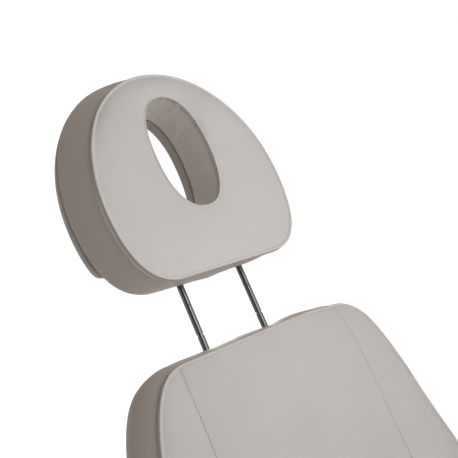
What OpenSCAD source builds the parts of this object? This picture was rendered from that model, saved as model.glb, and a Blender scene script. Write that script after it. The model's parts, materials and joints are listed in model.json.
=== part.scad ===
// Electric treatment chair: a motor column, a seat, a raising backrest, a lowering leg rest,
// and a headrest with a face hole on two rods. X is across, +Y is towards the head, Z is up.

/* [Chair] */
// Height of the seat cushion's upper seam above the floor, lift down
seat_z = 595; // [580:1:620]
// Width of the seat cushion
seat_w = 570; // [520:5:600]
// Distance between the backrest hinge and the leg rest hinge
seat_len = 480; // [450:5:520]
// Place of the backrest hinge behind the middle of the column
back_y = 105; // [96:1:112]
// Rise of the backrest above the horizontal
back_angle = 52.3; // [0:0.1:75]
// Drop of the leg rest below the horizontal
leg_angle = 20; // [0:1:70]

/* [Cushions] */
// Thickness of the seat cushion up to its seam
seat_pad_t = 80; // [60:1:90]
// Thickness of the backrest cushion up to its seam
back_pad_t = 72; // [66:1:80]
// Rise of a cushion's middle above its seam
crown = 8; // [3:0.5:14]
// Swell of a cushion's side wall
bulge = 5; // [2:0.5:7]
// Distance of the sewn panel seams from the middle
panel_x = 150; // [120:1:180]
// Half width of a sewn channel
channel_w = 7; // [4:0.5:10]
// Depth of a sewn channel
channel_d = 3; // [1:0.5:5]
// Corner radius of the seat cushion
seat_r = 38; // [20:1:60]
// Thickness of the plywood boards
board_t = 15; // [12:1:18]
// Distance of a board's edge inside its cushion's seam
board_inset = 6; // [3:1:12]

/* [Backrest] */
// Depth of the backrest hinge below the cushion's upper seam
hinge_drop = 20; // [18:1:24]
// Gap from the backrest hinge to each cushion beside it
hinge_gap = 17; // [16:0.5:22]
// Length of the backrest from its hinge to its top seam
back_len = 735; // [700:5:760]
// Length of the straight top edge of the backrest
back_top_w = 290; // [250:5:320]

/* [Headrest] */
// Diameter of the headrest rods
rod_d = 10; // [8:0.5:12]
// Distance between the two rods
rod_pitch = 110; // [105:1:120]
// Depth of the rods below the backrest's seam
rod_drop = 64; // [58:1:64]
// Distance of the rods' ring grooves beyond the backrest's top seam
groove_out = 29; // [15:1:45]
// Distance from the grooves to the headrest cushion
head_v = 74; // [60:1:90]
// Length of a rod below its groove
rod_below = 200; // [150:5:220]
// Length of the headrest cushion
head_len = 304; // [280:1:330]
// Width of the headrest cushion
head_w = 302; // [280:1:330]
// Thickness of the headrest cushion up to its seam
head_t = 80; // [70:1:90]
// Depth of the headrest cushion's back below the rods
head_back = 20; // [16:1:24]
// Thickness of the headrest's padded back shell
head_board_t = 25; // [18:1:30]
// Width of the face hole
hole_w = 98; // [80:1:110]
// Length of the face hole
hole_len = 180; // [150:1:190]
// Distance from the headrest's lower seam to the face hole
hole_v = 87; // [75:1:95]

/* [Leg rest] */
// Length of the leg rest from its hinge to its end seam
leg_len = 500; // [440:2:510]
// Width of the leg rest at its end
leg_end_w = 510; // [470:5:560]
// Corner radius at the leg rest's end
leg_r = 70; // [40:1:90]
// Gap from the leg rest hinge to each cushion beside it
leg_gap = 8; // [6:0.5:10]

/* [Frame] */
// Height of the seat rails
rail_h = 70; // [60:1:75]
// Width of the seat rails
rail_w = 30; // [25:1:35]
// Distance of a rail's middle from the chair's middle
rail_x = 155; // [145:1:160]
// Wall of the steel tubes
tube_wall = 3; // [2:0.5:4]
// Side of the square frame tubes
frame_tube = 25; // [20:1:28]
// Distance of the frame tubes' middle from the chair's middle
frame_x = 90; // [85:1:94]
// Thickness of the hinge plates
plate_t = 6; // [5:0.5:8]
// Diameter of the hinge shafts
shaft_d = 16; // [12:0.5:18]
// Width of a hinge eye
eye_w = 26; // [24:0.5:28]
// Wall of the bushes
bush_wall = 2; // [1:0.5:3]

/* [Drives] */
// Depth of the back drive's line below the backrest hinge
back_lever = 123; // [118:1:126]
// Depth of the leg drive's line below the leg rest hinge
leg_lever = 70; // [64:1:76]
// Distance of each drive's line from the chair's middle
drive_x = 60; // [55:1:64]
// Diameter of the drives' guide tubes
drive_d = 36; // [30:1:38]
// Diameter of the push rods
push_d = 18; // [14:1:20]
// Diameter of the drive motors
motor_d = 38; // [34:1:40]
// Diameter of the rollers in the levers' slots
roller_d = 16; // [14:0.5:18]
// Diameter of the crosshead pins
cross_pin_d = 10; // [8:0.5:11]
// Thickness of the lever plates
lever_t = 5; // [4:0.5:6]
// Material beside a lever's slot
lever_rim = 7; // [5:0.5:8]

/* [Column] */
// Travel of the lift
lift_travel = 260; // [200:5:280]
// Side of the outer column stage
stage_w = 140; // [120:1:145]
// Wall of the column stages
stage_wall = 5; // [3:0.5:6]
// Thickness of the head plate
head_plate_t = 8; // [6:1:10]
// Width of the smallest shroud
shroud_w = 190; // [180:1:200]
// Length of the smallest shroud
shroud_l = 230; // [210:1:240]
// Wall of the shrouds
shroud_wall = 3; // [2:0.5:4]

/* [Base] */
// Width of the base cover
base_w = 520; // [500:5:560]
// Length of the base cover
base_l = 760; // [720:5:800]
// Height of the base cover's top above the floor
base_top = 124; // [116:1:130]
// Wall of the base cover
cover_wall = 4; // [3:0.5:5]
// Height of the base frame's tubes
base_tube = 40; // [35:1:42]
// Diameter of a foot
foot_d = 50; // [40:1:60]
// Height of the base frame above the floor
foot_h = 28; // [25:1:32]

/* [Pedals] */
// Length of a rocker pedal
pedal_l = 92; // [80:1:96]
// Width of a rocker pedal
pedal_w = 56; // [50:1:60]
// Distance between the pedals
pedal_pitch = 110; // [104:1:120]
// Diameter of the pedal pins
pedal_pin_d = 6; // [5:0.5:8]

/* [Armrests] */
// Height of an armrest's pivot above the seat's seam
arm_pivot_h = 30; // [20:1:40]
// Height of an armrest's top above the seat's seam
arm_h = 215; // [190:1:240]
// Length of an armrest pad
arm_len = 380; // [340:5:420]
// Width of an armrest pad
arm_w = 88; // [70:1:95]
// Thickness of an armrest pad
arm_t = 45; // [35:1:50]

/* [Clearances] */
// Gap that keeps soft pieces off their neighbours
soft_gap = 0.3; // [0.3:0.1:0.6]
// Radial running clearance of a shaft in its bore
run = 0.05; // [0.03:0.01:0.08]
// Side gap between plates that turn past each other
side_gap = 0.6; // [0.4:0.1:0.9]
// Gap between the column stages
stage_gap = 0.8; // [0.5:0.1:0.9]
// Play of a roller in its lever's slot at the ends of the swing
slot_play = 0.5; // [0.4:0.1:1]

/* [Hidden] */

// Overrun of cuts
over = 1;
// Facets of round pieces, and of small ones
fine = 48;
coarse = 24;

// Heights of the stack from the floor up
plate_h = 8;
spacer_h = 30;
pad_z = seat_z - seat_pad_t;
board_z = pad_z - board_t;
rail_z = board_z - rail_h;
head_z = rail_z - spacer_h - head_plate_t;
frame_z = foot_h + base_tube;
column_z = frame_z + plate_h;
stage_step = 4;
stage_len = head_z - column_z - 2 * stage_step;

// Hinges and the swing of their levers
back_z = seat_z - hinge_drop;
leg_y = back_y - seat_len;
leg_z = rail_z + rail_h / 2;
back_full_angle = 75;
leg_full_angle = 70;
back_mid_angle = back_full_angle / 2;
leg_mid_angle = leg_full_angle / 2;
// Travel of a crosshead for one radian, as a share of its lever
back_rate_share = 1.1236;
leg_rate_share = 1.105;
back_rate = back_lever * back_rate_share;
leg_rate = leg_lever * leg_rate_share;
radian = 180 / PI;
back_cross_y = back_y + back_rate * (back_angle - back_mid_angle) / radian;
leg_cross_y = leg_y + leg_rate * (leg_angle - leg_mid_angle) / radian;
// Half width of each slot, from how far a straight drive strays from a turning lever
function stray_share(rate_share, mid) =
    max([for (a = [0:mid]) abs((rate_share * a / radian - tan(a)) * cos(a))]);
back_slot_r = roller_d / 2 + back_lever * stray_share(back_rate_share, back_mid_angle) + slot_play;
leg_slot_r = roller_d / 2 + leg_lever * stray_share(leg_rate_share, leg_mid_angle) + slot_play;
back_slot_out = norm([back_rate * back_mid_angle / radian, back_lever]) + slot_play;
leg_slot_out = norm([leg_rate * leg_mid_angle / radian, leg_lever]) + slot_play;

// Backrest in its own frame: x across, y from the hinge to the head, z out of its front
back_n0 = hinge_drop - back_pad_t;
back_frame_n = back_n0 - board_t - frame_tube;
back_frame_v = 20;
back_frame_inset = 135;
back_frame_len = back_len - back_frame_inset;
groove_v = back_len + groove_out;
rod_n = hinge_drop - rod_drop;
// Leg rest in its own frame: x across, y from the hinge to the feet, z out of its front
leg_seam_n = seat_z - leg_z;
leg_n0 = leg_seam_n - seat_pad_t;
leg_frame_n = leg_n0 - board_t - frame_tube;
leg_frame_v = 20;
leg_frame_inset = 80;
leg_frame_len = leg_len - leg_frame_inset;

// Hinge plates and ears
ear_x = 130;
eye_r = eye_w / 2;
bush_r = shaft_d / 2 + run + bush_wall;
rail_end = 16;
cap_t = 3;
cap_rim = 4;
cap_d = shaft_d + 2 * cap_rim;

// Drives
block_w = 20;
block_l = 24;
gearbox_l = 34;
gearbox_edge = 4;
motor_gap = 6;
motor_pitch = (drive_d + motor_d) / 2 + motor_gap;
motor_l = 108;
motor_flange_t = 5;
motor_cap_l = 24;
gearbox_foot_w = 36;
collar_l = 8;
collar_rim = 2;
drive_gap = 6;
push_hold = 30;
lever_x = block_w / 2 + side_gap;
pin_head_t = 2;
pin_head_rim = 2;
pin_head_d = cross_pin_d + 2 * pin_head_rim;
function lever_reach(out, slot_r, mid) = out * sin(mid) + slot_r + lever_rim;
back_mouth_y = back_y - lever_reach(back_slot_out, back_slot_r, back_mid_angle) - drive_gap;
leg_mouth_y = leg_y + lever_reach(leg_slot_out, leg_slot_r, leg_mid_angle) + drive_gap;
back_push_l = back_y + back_rate * back_mid_angle / radian - back_mouth_y + push_hold;
leg_push_l = leg_mouth_y - leg_y + leg_rate * leg_mid_angle / radian + push_hold;
back_guide_l = back_push_l - (back_y - back_rate * back_mid_angle / radian - back_mouth_y) + drive_gap;
leg_guide_l = leg_push_l - (leg_mouth_y - leg_y - leg_rate * leg_mid_angle / radian) + drive_gap;
back_line_z = back_z - back_lever;
leg_line_z = leg_z - leg_lever;
back_gear_y = back_mouth_y - back_guide_l - gearbox_l;
leg_gear_y = leg_mouth_y + leg_guide_l;
hanger_w = 30;

// Column, shrouds and lift drive
stage_in = stage_wall + stage_gap;
stage_r = 12;
head_plate_l = 250;
shroud_gap = 3;
shroud_r = 34;
shroud_step = shroud_wall + shroud_gap;
shroud_lap = 30;
shroud_drop = 10;
flange_w = 10;
lift_motor_d = 84;
lift_motor_h = 74;
spindle_d = 20;
screw_d = 32;
push_tube_d = 44;
screw_play = 0.5;

// Base
base_tube_w = 50;
foot_inset_x = 40;
foot_inset_y = 90;
foot_x = base_w / 2 - foot_inset_x;
foot_y = base_l / 2 - foot_inset_y;
long_tube_x = 75;
base_plate_w = 200;
base_plate_l = 240;
cover_z = 20;
cover_r = 64;
cover_rim_z = 68;
column_room = 10;
stud_d = 12;
foot_neck_d = 34;
foot_rim_h = 11;
foot_pad_h = 20;
stud_seat = 8;
nut_d = 24;
box_w = 160;
box_l = 100;
box_h = 30;
box_lid_h = 10;
box_rim = 2;
box_r = 12;
box_gap = 15;
box_y = -foot_y + base_tube_w / 2 + box_gap;
inlet_x = 120;
inlet_z = 44;
inlet_w = 28;
inlet_h = 20;
inlet_depth = 20;
inlet_rim = 4;
inlet_flange_t = 3;
inlet_wall = 3;
blade_w = 4;
blade_t = 2;
blade_l = 12;
blade_pitch = 7;

// Foot control
console_wall = 4;
console_gap = 1.5;
console_z = 12;
console_h = 44;
console_end = 10;
console_r = 12;
console_w = pedal_w + 2 * (console_wall + console_gap);
console_l = 3 * pedal_pitch + console_end;
console_x = base_w / 2 + soft_gap;
pedal_x = console_x + console_w / 2;
pedal_z = 46;
pedal_boss_d = 16;
pedal_t = 7;
pedal_mid_h = 9;
pedal_tip_h = 16;
tread_shares = [0.4, 0.55, 0.7, 0.85];
tread_r = 1.2;

// Armrests
arm_ahead = 110;
arm_y = back_y - arm_ahead;
arm_tube = 30;
arm_side_gap = 9;
arm_tube_x = seat_w / 2 + bulge + arm_side_gap;
arm_tube_z = 440;
arm_pivot_z = seat_z + arm_pivot_h;
arm_pin_d = 14;
arm_plate_t = 8;
arm_bar_w = 36;
arm_bend_r = 60;
arm_flange_w = 60;
arm_flange_t = 5;
arm_flange_l = 250;
arm_pad_z = seat_z + arm_h - arm_t;
arm_bend_z = arm_pad_z - arm_flange_t - arm_bar_w / 2 - arm_bend_r;
arm_x = arm_tube_x + arm_tube + side_gap;
arm_pad_x = arm_tube_x + arm_w / 2;
arm_pad_back = 60;
arm_r = 36;

// Colours
leather = [0.74, 0.72, 0.70];
steel = [0.55, 0.56, 0.57];
chrome = [0.35, 0.35, 0.36];
paint = [0.80, 0.80, 0.79];
shell = [0.88, 0.88, 0.87];
dark = [0.16, 0.16, 0.17];
ply = [0.72, 0.60, 0.44];

// Point at share t along a cubic curve, and n points along it without its last
function bez(p, t) = let (s = 1 - t)
    s * s * s * p[0] + 3 * s * s * t * p[1] + 3 * s * t * t * p[2] + t * t * t * p[3];
function bez_points(p, n) = [for (i = [0:n - 1]) bez(p, i / n)];

// Ring of points round a rounded rectangle, anticlockwise
function round_ring(w, l, r, z, n) = [for (c = [0:3], i = [0:n])
    let (a = 90 * (c + i / n), sx = (c == 0 || c == 3) ? 1 : -1, sy = c < 2 ? 1 : -1)
    [sx * (w / 2 - r) + r * cos(a), sy * (l / 2 - r) + r * sin(a), z]];

// Closed solid through rings of equal length; a wrapped one joins its last ring to its first
module loft(rings, wrapped = false) {
    n = len(rings[0]);
    m = len(rings);
    function middle(r) = [for (k = [0:2]) (max([for (q = r) q[k]]) + min([for (q = r) q[k]])) / 2];
    points = concat([for (r = rings) each r], [middle(rings[0]), middle(rings[m - 1])]);
    walls = [for (j = [0:(wrapped ? m - 1 : m - 2)], i = [0:n - 1])
        let (a = j * n + i, b = j * n + (i + 1) % n, c = (j + 1) % m * n + (i + 1) % n,
            d = (j + 1) % m * n + i)
        each [[a, c, b], [a, d, c]]];
    ends = wrapped ? [] : [for (i = [0:n - 1])
        each [[m * n, i, (i + 1) % n], [m * n + 1, (m - 1) * n + (i + 1) % n, (m - 1) * n + i]]];
    polyhedron(wrapped ? [for (r = rings) each r] : points, concat(walls, ends));
}

// Half widths [y, x] along a pad with straight sides and round corners
pad_row_shares = [0.25, 0.5, 0.75];
function pad_outline(y0, y1, w0, w1, r0, r1, n) = let (
    width = function (y) w0 + (w1 - w0) * (y - y0) / (y1 - y0))
    concat([for (i = [0:n]) let (a = 90 * i / n, y = y0 + r0 * (1 - cos(a)))
            [y, width(y) - r0 * (1 - sin(a))]],
        [for (s = pad_row_shares) let (y = y0 + (y1 - y0) * s) [y, width(y)]],
        [for (i = [0:n]) let (a = 90 * i / n, y = y1 - r1 * (1 - sin(a)))
            [y, width(y) - r1 * (1 - cos(a))]]);

// Backrest's half widths from hinge to head: the sides draw in to rounded shoulders
back_start = hinge_gap + bulge;
back_side_shares = [[0.38, 1], [0.54, 1], [0.70, 0.84], [0.81, 0.80]];
back_shoulder_shares = [[0.81, 0.80], [0.925, 0.73], [0.995, 0.665]];
back_corner_r = 38;
function back_point(share) = [share[0] * back_len, share[1] * seat_w / 2];
back_outline = concat(
    [for (i = [0:5]) let (a = 90 * i / 5)
        [back_start + back_corner_r * (1 - cos(a)), seat_w / 2 - back_corner_r * (1 - sin(a))]],
    bez_points([for (s = back_side_shares) back_point(s)], 7),
    bez_points(concat([for (s = back_shoulder_shares) back_point(s)], [[back_len, back_top_w / 2]]), 10),
    [[back_len, back_top_w / 2]]);

// Shares along a cushion's section: place across a side wall and how far the wall swells there
wall_shares = [[0, -0.5], [0.08, 0.15], [0.3, 0.85], [0.55, 1], [0.82, 0.7], [1, 0]];
wall_top = len(wall_shares) - 1;
// Height of the crown at share s of the half width
dome_power = 4;
function dome(s) = 1 - pow(abs(s), dome_power);

// Section of a cushion at y: half width w, from n0 up to the seam at n1, with a sewn channel at
// seam_x on both sides, or none where seam_x is 0
plain_top_shares = [0.97, 0.86, 0.7, 0.5, 0.25];
side_panel_shares = [0.94, 0.76, 0.4, 0];
middle_panel_shares = [0.75, 0.4];
function pad_section(y, w, n0, n1, rise, swell, seam_x) = let (
    chan = min(seam_x, w - 2.5 * channel_w),
    seam = chan + channel_w,
    tops = seam_x > 0 ? concat([for (s = side_panel_shares) seam + (w - seam) * s],
        [chan, chan - channel_w], [for (s = middle_panel_shares) s * chan])
        : [for (s = plain_top_shares) s * w],
    last = len(tops) - 1,
    height = [for (x = tops) n1 + rise * dome(x / w) - (seam_x > 0 && x == chan ? channel_d : 0)],
    wall = [for (p = wall_shares) [w + swell * p[1], n0 + (n1 - n0) * p[0]]])
    concat([for (p = wall) [-p[0], y, p[1]]], [for (i = [0:last]) [-tops[i], y, height[i]]],
        [[0, y, n1 + rise]], [for (i = [last:-1:0]) [tops[i], y, height[i]]],
        [for (i = [wall_top:-1:0]) [wall[i][0], y, wall[i][1]]]);

// Crowned cushion whose outline is a list of [y, half width]
module cushion(outline, n0, n1, rise = crown, swell = bulge, seam_x = panel_x) {
    first = outline[0];
    last = outline[len(outline) - 1];
    span = last[0] - first[0];
    third = (n1 - n0) / 3;
    rings = concat(
        [pad_section(first[0] - swell, first[1] - swell, n0 + third, n1 - third, 0, 0, seam_x)],
        [for (p = outline) pad_section(p[0], p[1], n0, n1,
            rise * dome(2 * (p[0] - first[0]) / span - 1), swell, seam_x)],
        [pad_section(last[0] + swell, last[1] - swell, n0 + third, n1 - third, 0, 0, seam_x)]);
    loft(rings);
}

// Flat board under a cushion, inset from its outline
module board(outline, inset, n0, t) {
    kept = [for (p = outline) [p[1] - inset, min(max(p[0], outline[0][0] + inset),
        outline[len(outline) - 1][0] - inset)]];
    translate([0, 0, n0]) linear_extrude(t) polygon(concat(kept,
        [for (i = [len(kept) - 1:-1:0]) [-kept[i][0], kept[i][1]]]));
}

// Frames of the parts that swing
module on_back() {
    translate([0, back_y, back_z]) rotate([back_angle, 0, 0]) children();
}
module on_leg() {
    translate([0, leg_y, leg_z]) rotate([leg_angle, 0, 0]) mirror([0, 1, 0]) children();
}
module on_rods() {
    on_back() translate([0, groove_v, rod_n]) children();
}
module both_sides() {
    children();
    mirror([1, 0, 0]) children();
}

// Steel tubes along X from -l/2 to l/2, and along Y from 0 to l; both stand on z = 0
module tube_x(l, w, h) {
    difference() {
        translate([-l / 2, -w / 2, 0]) cube([l, w, h]);
        translate([-l / 2 - over, -w / 2 + tube_wall, tube_wall])
            cube([l + 2 * over, w - 2 * tube_wall, h - 2 * tube_wall]);
    }
}
module tube_y(l, w, h) {
    translate([0, l / 2, 0]) rotate([0, 0, 90]) tube_x(l, w, h);
}
// Round bar along X, centred
module bar_x(d, l) {
    rotate([0, 90, 0]) cylinder(d = d, h = l, center = true, $fn = fine);
}
// Round bar along Y from 0
module bar_y(d, l) {
    rotate([-90, 0, 0]) cylinder(d = d, h = l, $fn = fine);
}
// Flat rounded rectangle, centred
module round_rect(w, l, r) {
    square([w - 2 * r, l], center = true);
    square([w, l - 2 * r], center = true);
    for (x = [-1, 1], y = [-1, 1])
        translate([x * (w / 2 - r), y * (l / 2 - r)]) circle(r = r, $fn = fine);
}
// Open rounded box with a wall, from z up by h
module sleeve(w, l, r, wall, z, h) {
    translate([0, 0, z]) difference() {
        linear_extrude(h) round_rect(w, l, r);
        translate([0, 0, -over]) linear_extrude(h + 2 * over)
            round_rect(w - 2 * wall, l - 2 * wall, r - wall);
    }
}
// Plate of thickness t across X, drawn in (y, z)
module plate_x(t) {
    rotate([90, 0, 90]) linear_extrude(t, center = true) children();
}
// Flat slot outline from the origin along an angle
module slot_shape(r0, r1, half, angle) {
    rotate(angle) {
        translate([r0, -half]) square([r1 - r0, 2 * half]);
        translate([r0, 0]) circle(r = half, $fn = fine);
        translate([r1, 0]) circle(r = half, $fn = fine);
    }
}

// Base
module feet() color(dark) for (x = [-foot_x, foot_x], y = [-foot_y, foot_y])
    translate([x, y, 0]) rotate_extrude($fn = fine) polygon([
        [0, 0], [foot_d / 2, 0], [foot_d / 2, foot_rim_h], [foot_neck_d / 2, foot_pad_h],
        [stud_d / 2, foot_pad_h], [stud_d / 2, stud_seat], [0, stud_seat]]);

module foot_studs() color(steel) for (x = [-foot_x, foot_x], y = [-foot_y, foot_y])
    translate([x, y, 0]) {
        translate([0, 0, stud_seat]) cylinder(d = stud_d - 2 * run, h = frame_z - tube_wall * 2 - stud_seat,
            $fn = coarse);
        translate([0, 0, foot_pad_h]) cylinder(d = nut_d, h = foot_h - foot_pad_h, $fn = 6);
    }

module base_frame() color(steel) {
    cross_l = base_w - 2 * (cover_wall + soft_gap);
    difference() {
        for (y = [-foot_y, foot_y]) translate([0, y, foot_h]) tube_x(cross_l, base_tube_w, base_tube);
        for (x = [-foot_x, foot_x], y = [-foot_y, foot_y])
            translate([x, y, foot_h - over]) cylinder(d = stud_d, h = tube_wall + 2 * over, $fn = coarse);
    }
    for (x = [-long_tube_x, long_tube_x])
        translate([x, -foot_y + base_tube_w / 2, foot_h])
            tube_y(2 * foot_y - base_tube_w, base_tube, base_tube);
    translate([0, 0, frame_z]) linear_extrude(plate_h) round_rect(base_plate_w, base_plate_l, stage_r);
}

// Shares of the cover's rise above its rim and of its draw-in there
cover_shares = [[0, 0], [0.28, 0.08], [0.55, 0.24], [0.78, 0.48], [0.93, 0.74], [1, 1]];
cover_draw = 130;
function cover_ring(z, draw, wall) = round_ring(base_w - 2 * (draw + wall), base_l - 2 * (draw + wall),
    max(cover_r - draw / 2 - wall, cover_r / 3), z, 6);
function cover_rings(wall, bottom) = concat([cover_ring(bottom, 0, wall)],
    [for (s = cover_shares) cover_ring(cover_rim_z + (base_top - cover_rim_z) * s[0] - wall * s[0],
        cover_draw * s[1], wall)]);

module base_cover() color(shell) difference() {
    loft(cover_rings(0, cover_z));
    loft(cover_rings(cover_wall, cover_z - over));
    translate([0, 0, base_top]) cube([stage_w + 2 * column_room, stage_w + 2 * column_room,
        4 * cover_wall], center = true);
    translate([inlet_x, base_l / 2, inlet_z])
        cube([inlet_w + soft_gap, 4 * cover_wall, inlet_h + soft_gap], center = true);
}

module control_box() color(dark) translate([0, box_y + box_l / 2, frame_z]) {
    linear_extrude(box_h) round_rect(box_w - 2 * box_rim, box_l - 2 * box_rim, box_r - box_rim);
    translate([0, 0, box_h - box_lid_h]) linear_extrude(box_lid_h) round_rect(box_w, box_l, box_r);
}

module mains_inlet() color(dark) translate([inlet_x, base_l / 2, inlet_z]) {
    difference() {
        union() {
            translate([-inlet_w / 2, -inlet_depth, -inlet_h / 2]) cube([inlet_w, inlet_depth, inlet_h]);
            translate([-inlet_w / 2 - inlet_rim, 0, -inlet_h / 2 - inlet_rim])
                cube([inlet_w + 2 * inlet_rim, inlet_flange_t, inlet_h + 2 * inlet_rim]);
        }
        translate([-inlet_w / 2 + inlet_wall, -inlet_depth + inlet_wall, -inlet_h / 2 + inlet_wall])
            cube([inlet_w - 2 * inlet_wall, inlet_depth + inlet_flange_t, inlet_h - 2 * inlet_wall]);
    }
    for (k = [-1:1]) translate([k * blade_pitch - blade_t / 2, -inlet_depth + inlet_wall, -blade_w / 2])
        cube([blade_t, blade_l, blade_w]);
}

module column_outer() color(steel)
    sleeve(stage_w, stage_w, stage_r, stage_wall, column_z, stage_len);
module column_middle() color(steel) sleeve(stage_w - 2 * stage_in, stage_w - 2 * stage_in,
    stage_r, stage_wall, column_z + stage_step, stage_len);
module column_inner() color(steel) sleeve(stage_w - 4 * stage_in, stage_w - 4 * stage_in,
    stage_r, stage_wall, column_z + 2 * stage_step, stage_len);

module shroud_lower() color(shell) {
    w = shroud_w + 4 * shroud_step;
    l = shroud_l + 4 * shroud_step;
    r = shroud_r + 2 * shroud_step;
    sleeve(w, l, r, shroud_wall, base_top, lift_travel / 2 + shroud_lap);
    sleeve(w + 2 * flange_w, l + 2 * flange_w, r + flange_w, flange_w + shroud_wall, base_top,
        shroud_wall);
}
module shroud_middle() color(shell) sleeve(shroud_w + 2 * shroud_step, shroud_l + 2 * shroud_step,
    shroud_r + shroud_step, shroud_wall, base_top + soft_gap, head_z - base_top - shroud_step);
module shroud_upper() color(shell) sleeve(shroud_w, shroud_l, shroud_r, shroud_wall,
    base_top + shroud_drop, head_z - base_top - shroud_drop);

module lift_motor() color(dark) translate([0, 0, column_z]) {
    cylinder(d = lift_motor_d, h = lift_motor_h, $fn = fine);
    cylinder(d = spindle_d, h = head_z - column_z - shroud_step, $fn = coarse);
}
module lift_screw() color(steel) translate([0, 0, column_z + lift_motor_h + stage_step]) difference() {
    cylinder(d = screw_d, h = head_z - column_z - lift_motor_h - 2 * stage_step, $fn = fine);
    translate([0, 0, -over]) cylinder(d = spindle_d + 2 * screw_play, h = head_z, $fn = fine);
}
module lift_push_tube() color(steel) {
    z = column_z + lift_motor_h + 2 * stage_step;
    translate([0, 0, z]) difference() {
        cylinder(d = push_tube_d, h = head_z - z, $fn = fine);
        translate([0, 0, -over]) cylinder(d = screw_d + 2 * screw_play, h = head_z, $fn = fine);
    }
}

// Foot control
module pedal_console() color(dark) difference() {
    translate([pedal_x, 0, console_z]) linear_extrude(console_h) round_rect(console_w, console_l, console_r);
    for (k = [-1:1]) translate([pedal_x, k * pedal_pitch, console_z + console_wall])
        linear_extrude(console_h) round_rect(console_w - 2 * console_wall, pedal_pitch - console_wall,
            console_wall);
    for (k = [-1:1]) translate([pedal_x, k * pedal_pitch, pedal_z])
        bar_x(pedal_pin_d, console_w + 2 * over);
}
module pedal_pins() color(steel) for (k = [-1:1])
    translate([pedal_x, k * pedal_pitch, pedal_z]) bar_x(pedal_pin_d - 2 * run, console_w);
module pedal(k) color(shell) translate([pedal_x, k * pedal_pitch, pedal_z]) difference() {
    plate_x(pedal_w) {
        polygon([[-pedal_l / 2, pedal_tip_h], [0, pedal_mid_h], [pedal_l / 2, pedal_tip_h],
            [pedal_l / 2, pedal_tip_h + pedal_t], [0, pedal_mid_h + pedal_t],
            [-pedal_l / 2, pedal_tip_h + pedal_t]]);
        circle(d = pedal_boss_d, $fn = fine);
        translate([-pedal_boss_d / 2, 0]) square([pedal_boss_d, pedal_mid_h + pedal_t / 2]);
        for (side = [-1, 1], s = tread_shares) translate([side * s * pedal_l / 2,
            pedal_mid_h + pedal_t + s * (pedal_tip_h - pedal_mid_h)]) circle(r = tread_r, $fn = coarse);
    }
    bar_x(pedal_pin_d, pedal_w + 2 * over);
}

// Seat frame
module head_plate() color(steel) {
    width = 2 * rail_x + rail_w;
    translate([-width / 2, -head_plate_l / 2, head_z]) cube([width, head_plate_l, head_plate_t]);
    for (x = [-rail_x, rail_x]) translate([x, -head_plate_l / 2, head_z + head_plate_t])
        tube_y(head_plate_l, rail_w, spacer_h);
}
module seat_rails() color(paint) difference() {
    for (x = [-rail_x, rail_x]) translate([x, leg_y - rail_end, rail_z])
        tube_y(seat_len + 2 * rail_end, rail_w, rail_h);
    translate([0, leg_y, leg_z]) bar_x(shaft_d + 2 * run, 3 * rail_x);
}
module cross_members() color(paint) {
    inner = 2 * rail_x - rail_w;
    for (y = [back_gear_y, leg_gear_y]) translate([0, y + gearbox_l / 2, board_z - frame_tube])
        tube_x(inner, frame_tube, frame_tube);
    top = leg_line_z + drive_d / 2 + gearbox_edge;
    translate([-drive_x, leg_gear_y + gearbox_l / 2, top])
        tube_x(hanger_w, frame_tube, board_z - frame_tube - top);
}
module back_hinge_plates() color(paint) both_sides()
    translate([rail_x + (rail_w + plate_t) / 2, 0, 0]) plate_x(plate_t) difference() {
        union() {
            translate([back_y, back_z]) circle(d = eye_w, $fn = fine);
            translate([back_y - eye_r, rail_z + tube_wall]) square([eye_w, back_z - rail_z - tube_wall]);
            translate([back_y - 3 * eye_r, rail_z + tube_wall])
                square([4 * eye_r, rail_h - 2 * tube_wall]);
        }
        translate([back_y, back_z]) circle(d = shaft_d + 2 * run, $fn = fine);
    }
module hinge_shaft(half) {
    bar_x(shaft_d, 2 * half);
    for (s = [-1, 1]) translate([s * (half + cap_t / 2), 0, 0]) bar_x(cap_d, cap_t);
}
module back_shaft() color(steel) translate([0, back_y, back_z])
    hinge_shaft(rail_x + rail_w / 2 + plate_t + run);
module leg_shaft() color(steel) translate([0, leg_y, leg_z]) hinge_shaft(rail_x + rail_w / 2 + run);

seat_outline = pad_outline(leg_y + leg_gap + bulge, back_y - hinge_gap - bulge, seat_w / 2, seat_w / 2,
    seat_r, seat_r, 5);
module seat_board() color(ply) board(seat_outline, board_inset, board_z, board_t);
module seat_cushion() color(leather) cushion(seat_outline, pad_z, seat_z);

// Drives: a gearbox with a guide tube along Y, and a motor beside it
module gearbox_shape(top) {
    circle(d = drive_d + 2 * gearbox_edge, $fn = fine);
    translate([motor_pitch, 0]) circle(d = motor_d + 2 * gearbox_edge, $fn = fine);
    translate([0, -drive_d / 2]) square([motor_pitch, drive_d]);
    translate([-gearbox_foot_w / 2, 0]) square([gearbox_foot_w, top]);
}
module drive(side, gear_y, guide_y, guide_l, z, top) translate([side * drive_x, 0, z]) {
    collar_y = side > 0 ? guide_y + guide_l - collar_l : guide_y;
    difference() {
        union() {
            translate([0, gear_y + gearbox_l, 0]) rotate([90, 0, 0]) linear_extrude(gearbox_l)
                scale([side, 1]) gearbox_shape(top - z);
            translate([0, guide_y, 0]) bar_y(drive_d, guide_l);
            translate([0, collar_y, 0]) bar_y(drive_d + 2 * collar_rim, collar_l);
        }
        translate([0, guide_y - over, 0]) bar_y(push_d + 2 * run, guide_l + 2 * over);
    }
}
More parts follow.
